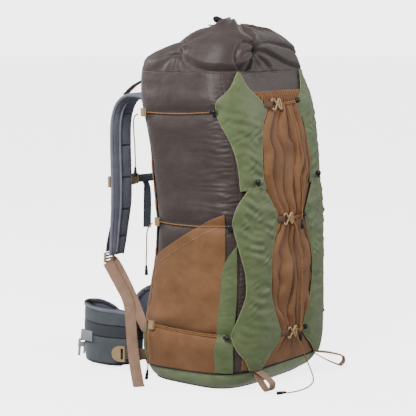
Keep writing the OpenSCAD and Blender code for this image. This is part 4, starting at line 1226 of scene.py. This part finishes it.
for side, sign in (("left", 1), ("right", -1)):
    flip = np.array([sign, 1, 1])
    webbing("pad_webbing_" + side, np.array(PAD_WEB) * flip, WEB_W, (1, 0, 0), GREY_WEB,
            "harness", ["shoulder_webbing"])
    lifter = webbing("load_lifter_" + side, np.array(LIFTER) * flip, 20, (1, 0, 0), TAN_WEB,
                     None, ["load_lifters"])
    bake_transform(lifter)
    lower = webbing("lower_webbing_" + side, np.array(LOWER_STRAP) * flip, WEB_W,
                    np.array(LOWER_ACROSS) * flip, TAN_WEB, None,
                    ["lower_straps"])
    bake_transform(lower)
    tail = webbing("strap_end_" + side, np.array(STRAP_TAIL) * flip, WEB_W, TAIL_ACROSS * flip,
                   TAN_WEB, None, ["strap_tail_" + side], hemmed=14)
    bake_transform(tail)

# ---------------------------------------------------------------- chest strap
# Two sliders on the pads, narrow grey webbing and a small side-release buckle left of the
# middle, with the loose end of the webbing hanging from it.
CHEST_Z, CHEST_Y, SLIDER_X, CHEST_BUCKLE_X, CHEST_W = 428, 291, 106, -27, 19
CHEST_TAIL = [(14, 293, 424), (24, 295, 412), (28, 295, 395), (27, 294, 365), (25, 293, 335),
              (23, 292, 306)]
TAIL_TURN = [(0.2, 0, 1), (0.6, 0, 0.6), (0.9, -0.4, 0.1)] + [(0.75, -0.65, 0)] * 3
for name, start, end in (("chest_webbing_left", -SLIDER_X + 4, CHEST_BUCKLE_X - 10),
                         ("chest_webbing_right", CHEST_BUCKLE_X + 10, SLIDER_X - 4)):
    level = [(x, CHEST_Y, CHEST_Z - 1.5 * math.sin(math.pi * t))
             for t, x in ((t, start + (end - start) * t) for t in np.linspace(0, 1, 7))]
    webbing(name, level, CHEST_W, (0, 0, 1), GREY_WEB, "chest_strap",
            ["chest_webbing"])
webbing("chest_strap_end", CHEST_TAIL, CHEST_W, TAIL_TURN, GREY_WEB,
        "chest_strap", hemmed=12)
dress("chest_sliders", TAN_ACETAL)
dress("chest_buckle", TAN_ACETAL)

# ---------------------------------------------------------------- carrying loop and tool loops
# Tan webbing: a loop to lift the pack by, and two at the front corners of the base for the
# shafts of tools, which fall open on the floor.
HAUL_LOW, HAUL_W, HAUL_HALF, HAUL_OUT = 663, 20, 45, 26
haul_back = float(station(np.array([HAUL_LOW + HAUL_W]))[0, 3]) - 1
haul_route = [(-(HAUL_HALF - 1.5) * math.cos(t), haul_back + (HAUL_OUT - 1.5) * math.sin(t),
               HAUL_LOW + HAUL_W / 2) for t in np.linspace(0, math.pi, 13)]
webbing("haul_webbing", haul_route, HAUL_W, (0, 0, 1), TAN_WEB, "pack",
        ["haul_loop"], thick=3)


def tool_loop(name, at, turn, dip, long, high):
    """Webbing folded into a drop shape and sewn into the base seam at its narrow end."""
    half = high / 2
    drop = [(-6, 0.5)] + [(2, 2.5), (long * 0.55, half * 0.75)] + [
        (long + half * math.sin(t), half * math.cos(t)) for t in np.linspace(0.3, math.pi - 0.3, 6)
    ] + [(long * 0.55, -half * 0.75), (2, -2.5), (-6, -0.5)]
    place = (Matrix.Rotation(math.radians(turn), 3, "Z")
             @ Matrix.Rotation(math.radians(dip), 3, "Y"))
    route = [np.array(at) + np.array(place @ Vector((x + 2, 0, z))) for x, z in drop]
    webbing(name, route, 20, tuple(place @ Vector((0, 1, 0))), TAN_WEB, "pack",
            ["tool_loops"], thick=1.8)


tool_loop("tool_loop_left", (-112, -133, 45), -96, 36, 40, 26)
tool_loop("tool_loop_right", (112, -133, 45), -38, 20, 64, 24)

# ---------------------------------------------------------------- compression cords
# Elastic cords cross each flank from a tan cord lock to a black guide at the wing's point. Three
# short ones cross the front from a flat double hook, held by a webbing tab, to another guide.
SIDE_LOCKS = [(600, 150), (360, 151), (129, 155)]
SIDE_GUIDES = [(607, 209), (366, 209.5), (128, 212.5)]
TABS = [(617, 247), (371, 249.5), (117, 255.5)]
FRONT_GUIDES = [(621, 291.5), (373, 287.5), (119, 287)]
WAIST_GUIDE = (456, 229)


def local_frame(z, a):
    """Across, up and out on the bag at one place, as rows."""
    out = skin_out(np.array([float(z)]), np.array([float(a)]))[0]
    across = np.cross((0, 0, 1), out)
    across /= np.linalg.norm(across)
    return np.array([across, np.cross(out, across), out])


def on_bag(points, z, a, off):
    """Points given across, up and out from one place on the bag."""
    return skin(np.array([float(z)]), np.array([float(a)]), np.array([float(off)]))[0] + (
        np.array(points, float) @ local_frame(z, a))


def over_cloth(z, a):
    """How far a cord that lies on the cloth is off the skin."""
    pocket = step_up(z, 30, 34) * (1 - step_up(z, pocket_mouth(to_left(a)) - 2,
                                               pocket_mouth(to_left(a)) + 2))
    return (np.maximum(stuffing(z, a), broad_stuffing(z, a)) * (1 - pocket)
            + pocket * (POCKET_OFF + side_pocket_bulge(z, to_left(a)) + broad_stuffing(z, a)))


GUIDE_PROFILE = [(0, -8), (2.5, -8), (3.6, -5), (3.9, -3), (5.4, -1), (5.8, 2), (5.0, 5), (2.6, 7),
                 (0, 7.4)]
LOW_CORD = 2
LOW_CORD_GAP = 1.8
LOCK_OUT, GUIDE_END_OUT = 8, 9.5
runs = []
for side in (True, False):
    for k, ((z0, a0), (z1, a1)) in enumerate(zip(SIDE_LOCKS, SIDE_GUIDES)):
        t = np.linspace(0.02, 0.985, 40)
        for gap in ((-LOW_CORD_GAP, LOW_CORD_GAP) if k == LOW_CORD else (0,)):
            z, m = z0 + (z1 - z0) * t + gap, a0 + (a1 - a0) * t
            sag = (-3.0 if k < LOW_CORD else -2.0) * np.sin(np.pi * t)
            a = m if side else (180 - m) % 360
            off = over_cloth(z + sag, a) + 1.6
            off = np.maximum(off, np.interp(t, (0, 0.04, 0.96, 1), (LOCK_OUT, 0, 0,
                                                                   GUIDE_END_OUT)))
            runs.append(skin(z + sag, a, off))
fitted(cord_curve("flank_cords", runs, CORD_D / 2, BRAID), "pack", ["side_cords"])
runs = []
for (z0, a0), (z1, a1) in zip(TABS, FRONT_GUIDES):
    t = np.linspace(0, 1, 12)
    z, a = z0 + (z1 - z0) * t, a0 + 19 + (a1 - 2.2 - a0 - 19) * t
    runs.append(skin(z, a, 12.5 - 1.5 * t))
    runs.append(skin(z - 3, a, 12.0 - 1.5 * t))
fitted(cord_curve("front_cord_runs", runs, CORD_D / 2, BRAID), "pack",
       ["front_cords"])

GUIDE_OUT = 13
guides = [(z, a, left, False) for z, a in SIDE_GUIDES + [WAIST_GUIDE] for left in (True, False)]
guides += [(z, a, True, True) for z, a in FRONT_GUIDES]
bm = bmesh.new()
for z, m, left, front in guides:
    a = m if left else (180 - m) % 360
    frame_here = local_frame(z, a)
    way = frame_here[0] * (1 if (left and not front) else -1)
    if z == WAIST_GUIDE[0]:
        way = frame_here[1]
    turned(bm, GUIDE_PROFILE, on_bag((0, 0, 0), z, a, GUIDE_OUT), way, steps=16)
finished("cord_guides", closed_up(bm), BLACK_ACETAL, "pack", ["cord_anchors"])

HOOK_AWAY, HOOK_OUT = 12.5, 12.5
TAB_AWAY, TAB_OUT, TAB_W = 2.2, 9.5, 13
HOOK_ARM = [(-15, 7, 0), (-15.5, 10, 0.5), (-13, 12, 1), (-9, 11, 1.4), (-4, 5, 1.8), (0, 0, 2.2),
            (4, -5, 1.8), (8, -9.5, 1), (10, -11, 0.6)]
HOOK_BAR = [(8, 0, 0.6), (9, 9, 0.6), (11, 11.5, 0.6), (14, 11, 0.6), (15, 8, 0.6), (15, -8, 0.6),
            (14, -11, 0.6), (11, -11.5, 0.6), (9, -9, 0.6), (8, 0, 0.6)]
runs = []
for z, a in TABS:
    for arm in (HOOK_ARM, [(x, -y, out * 0.4) for x, y, out in HOOK_ARM], HOOK_BAR):
        runs.append(on_bag(smooth_run(arm, 4), z - 1, a + HOOK_AWAY, HOOK_OUT))
fitted(cord_curve("double_hooks", runs, 1.9, TAN_ACETAL), "pack", ["front_hooks"])
for name, (z, a) in zip(("top", "middle", "low"), TABS):
    route = [on_bag((x, 0, out), z, a + TAB_AWAY, TAB_OUT) for x, out in ((-9, 0), (-2, 1), (5, 3),
                                                                 (10.5, 4))]
    webbing("front_tab_" + name, route, TAB_W, tuple(local_frame(z, a + TAB_AWAY)[1]), BROWN_WEB,
            "pack", ["front_tabs"])
dress("line_locs", TAN_ACETAL)


# ---------------------------------------------------------------- floor, backdrop and light
# A pale floor runs into a white paper backdrop that is lit from within, as a light tent is.
# Soft boxes stand high on the left, low on the right and behind, in white surroundings.
def lit_paper(name, dark, strength):
    """Matt white paper, evenly lit from behind."""
    material, shader = new_finish(name, Roughness=0.9, Emission_Strength=strength)
    shader.inputs["Emission Color"].default_value = linear("#ffffff")
    place = add_node(material, "ShaderNodeTexCoord").outputs["Object"]
    patches = add_node(material, "ShaderNodeTexNoise", {"Vector": place, "Scale": 2.0})
    colour = colour_between(material, patches.outputs["Fac"], dark, "#ffffff")
    colour_and_relief(material, shader, colour, patches.outputs["Fac"], 0.1 * MM)
    return material


def backdrop(name, make, finish):
    """A stage piece that the camera sees, and that sheds no light on the pack."""
    bm = bmesh.new()
    make(bm)
    data = mesh_of(name, bm)
    data.materials.append(finish)
    piece = in_scene(name, data)
    piece.visible_diffuse = piece.visible_glossy = piece.visible_shadow = False
    return piece


backdrop("floor", lambda bm: bmesh.ops.create_grid(bm, x_segments=2, y_segments=2, size=29),
         lit_paper("white_paper_floor", "#eeeeee", 3.5))
backdrop("light_tent", lambda bm: bmesh.ops.create_uvsphere(
    bm, u_segments=64, v_segments=32, radius=30), lit_paper("white_paper_tent", "#f4f4f4", 4.1))

world = bpy.data.worlds.new("white_surroundings")
world.use_nodes = True
sky = world.node_tree.nodes["Background"]
sky.inputs["Color"].default_value = linear("#ffffff")
sky.inputs["Strength"].default_value = 0.40
bpy.context.scene.world = world

TARGET = Vector((0, 0, 0.4))
for name, at, size, watts in (("key_left", (-2.3, -0.5, 2.3), 1.3, 88),
                              ("fill_right", (1.5, -2.4, 1.5), 1.6, 36),
                              ("rim_back", (-0.6, 2.6, 1.9), 1.4, 34)):
    lamp = bpy.data.lights.new(name, "AREA")
    lamp.shape = "DISK"
    lamp.size = size
    lamp.energy = watts
    soft_box = bpy.data.objects.new(name, lamp)
    soft_box.location = at
    soft_box.rotation_euler = (Vector(at) - TARGET).to_track_quat("Z", "Y").to_euler()
    bpy.context.scene.collection.objects.link(soft_box)
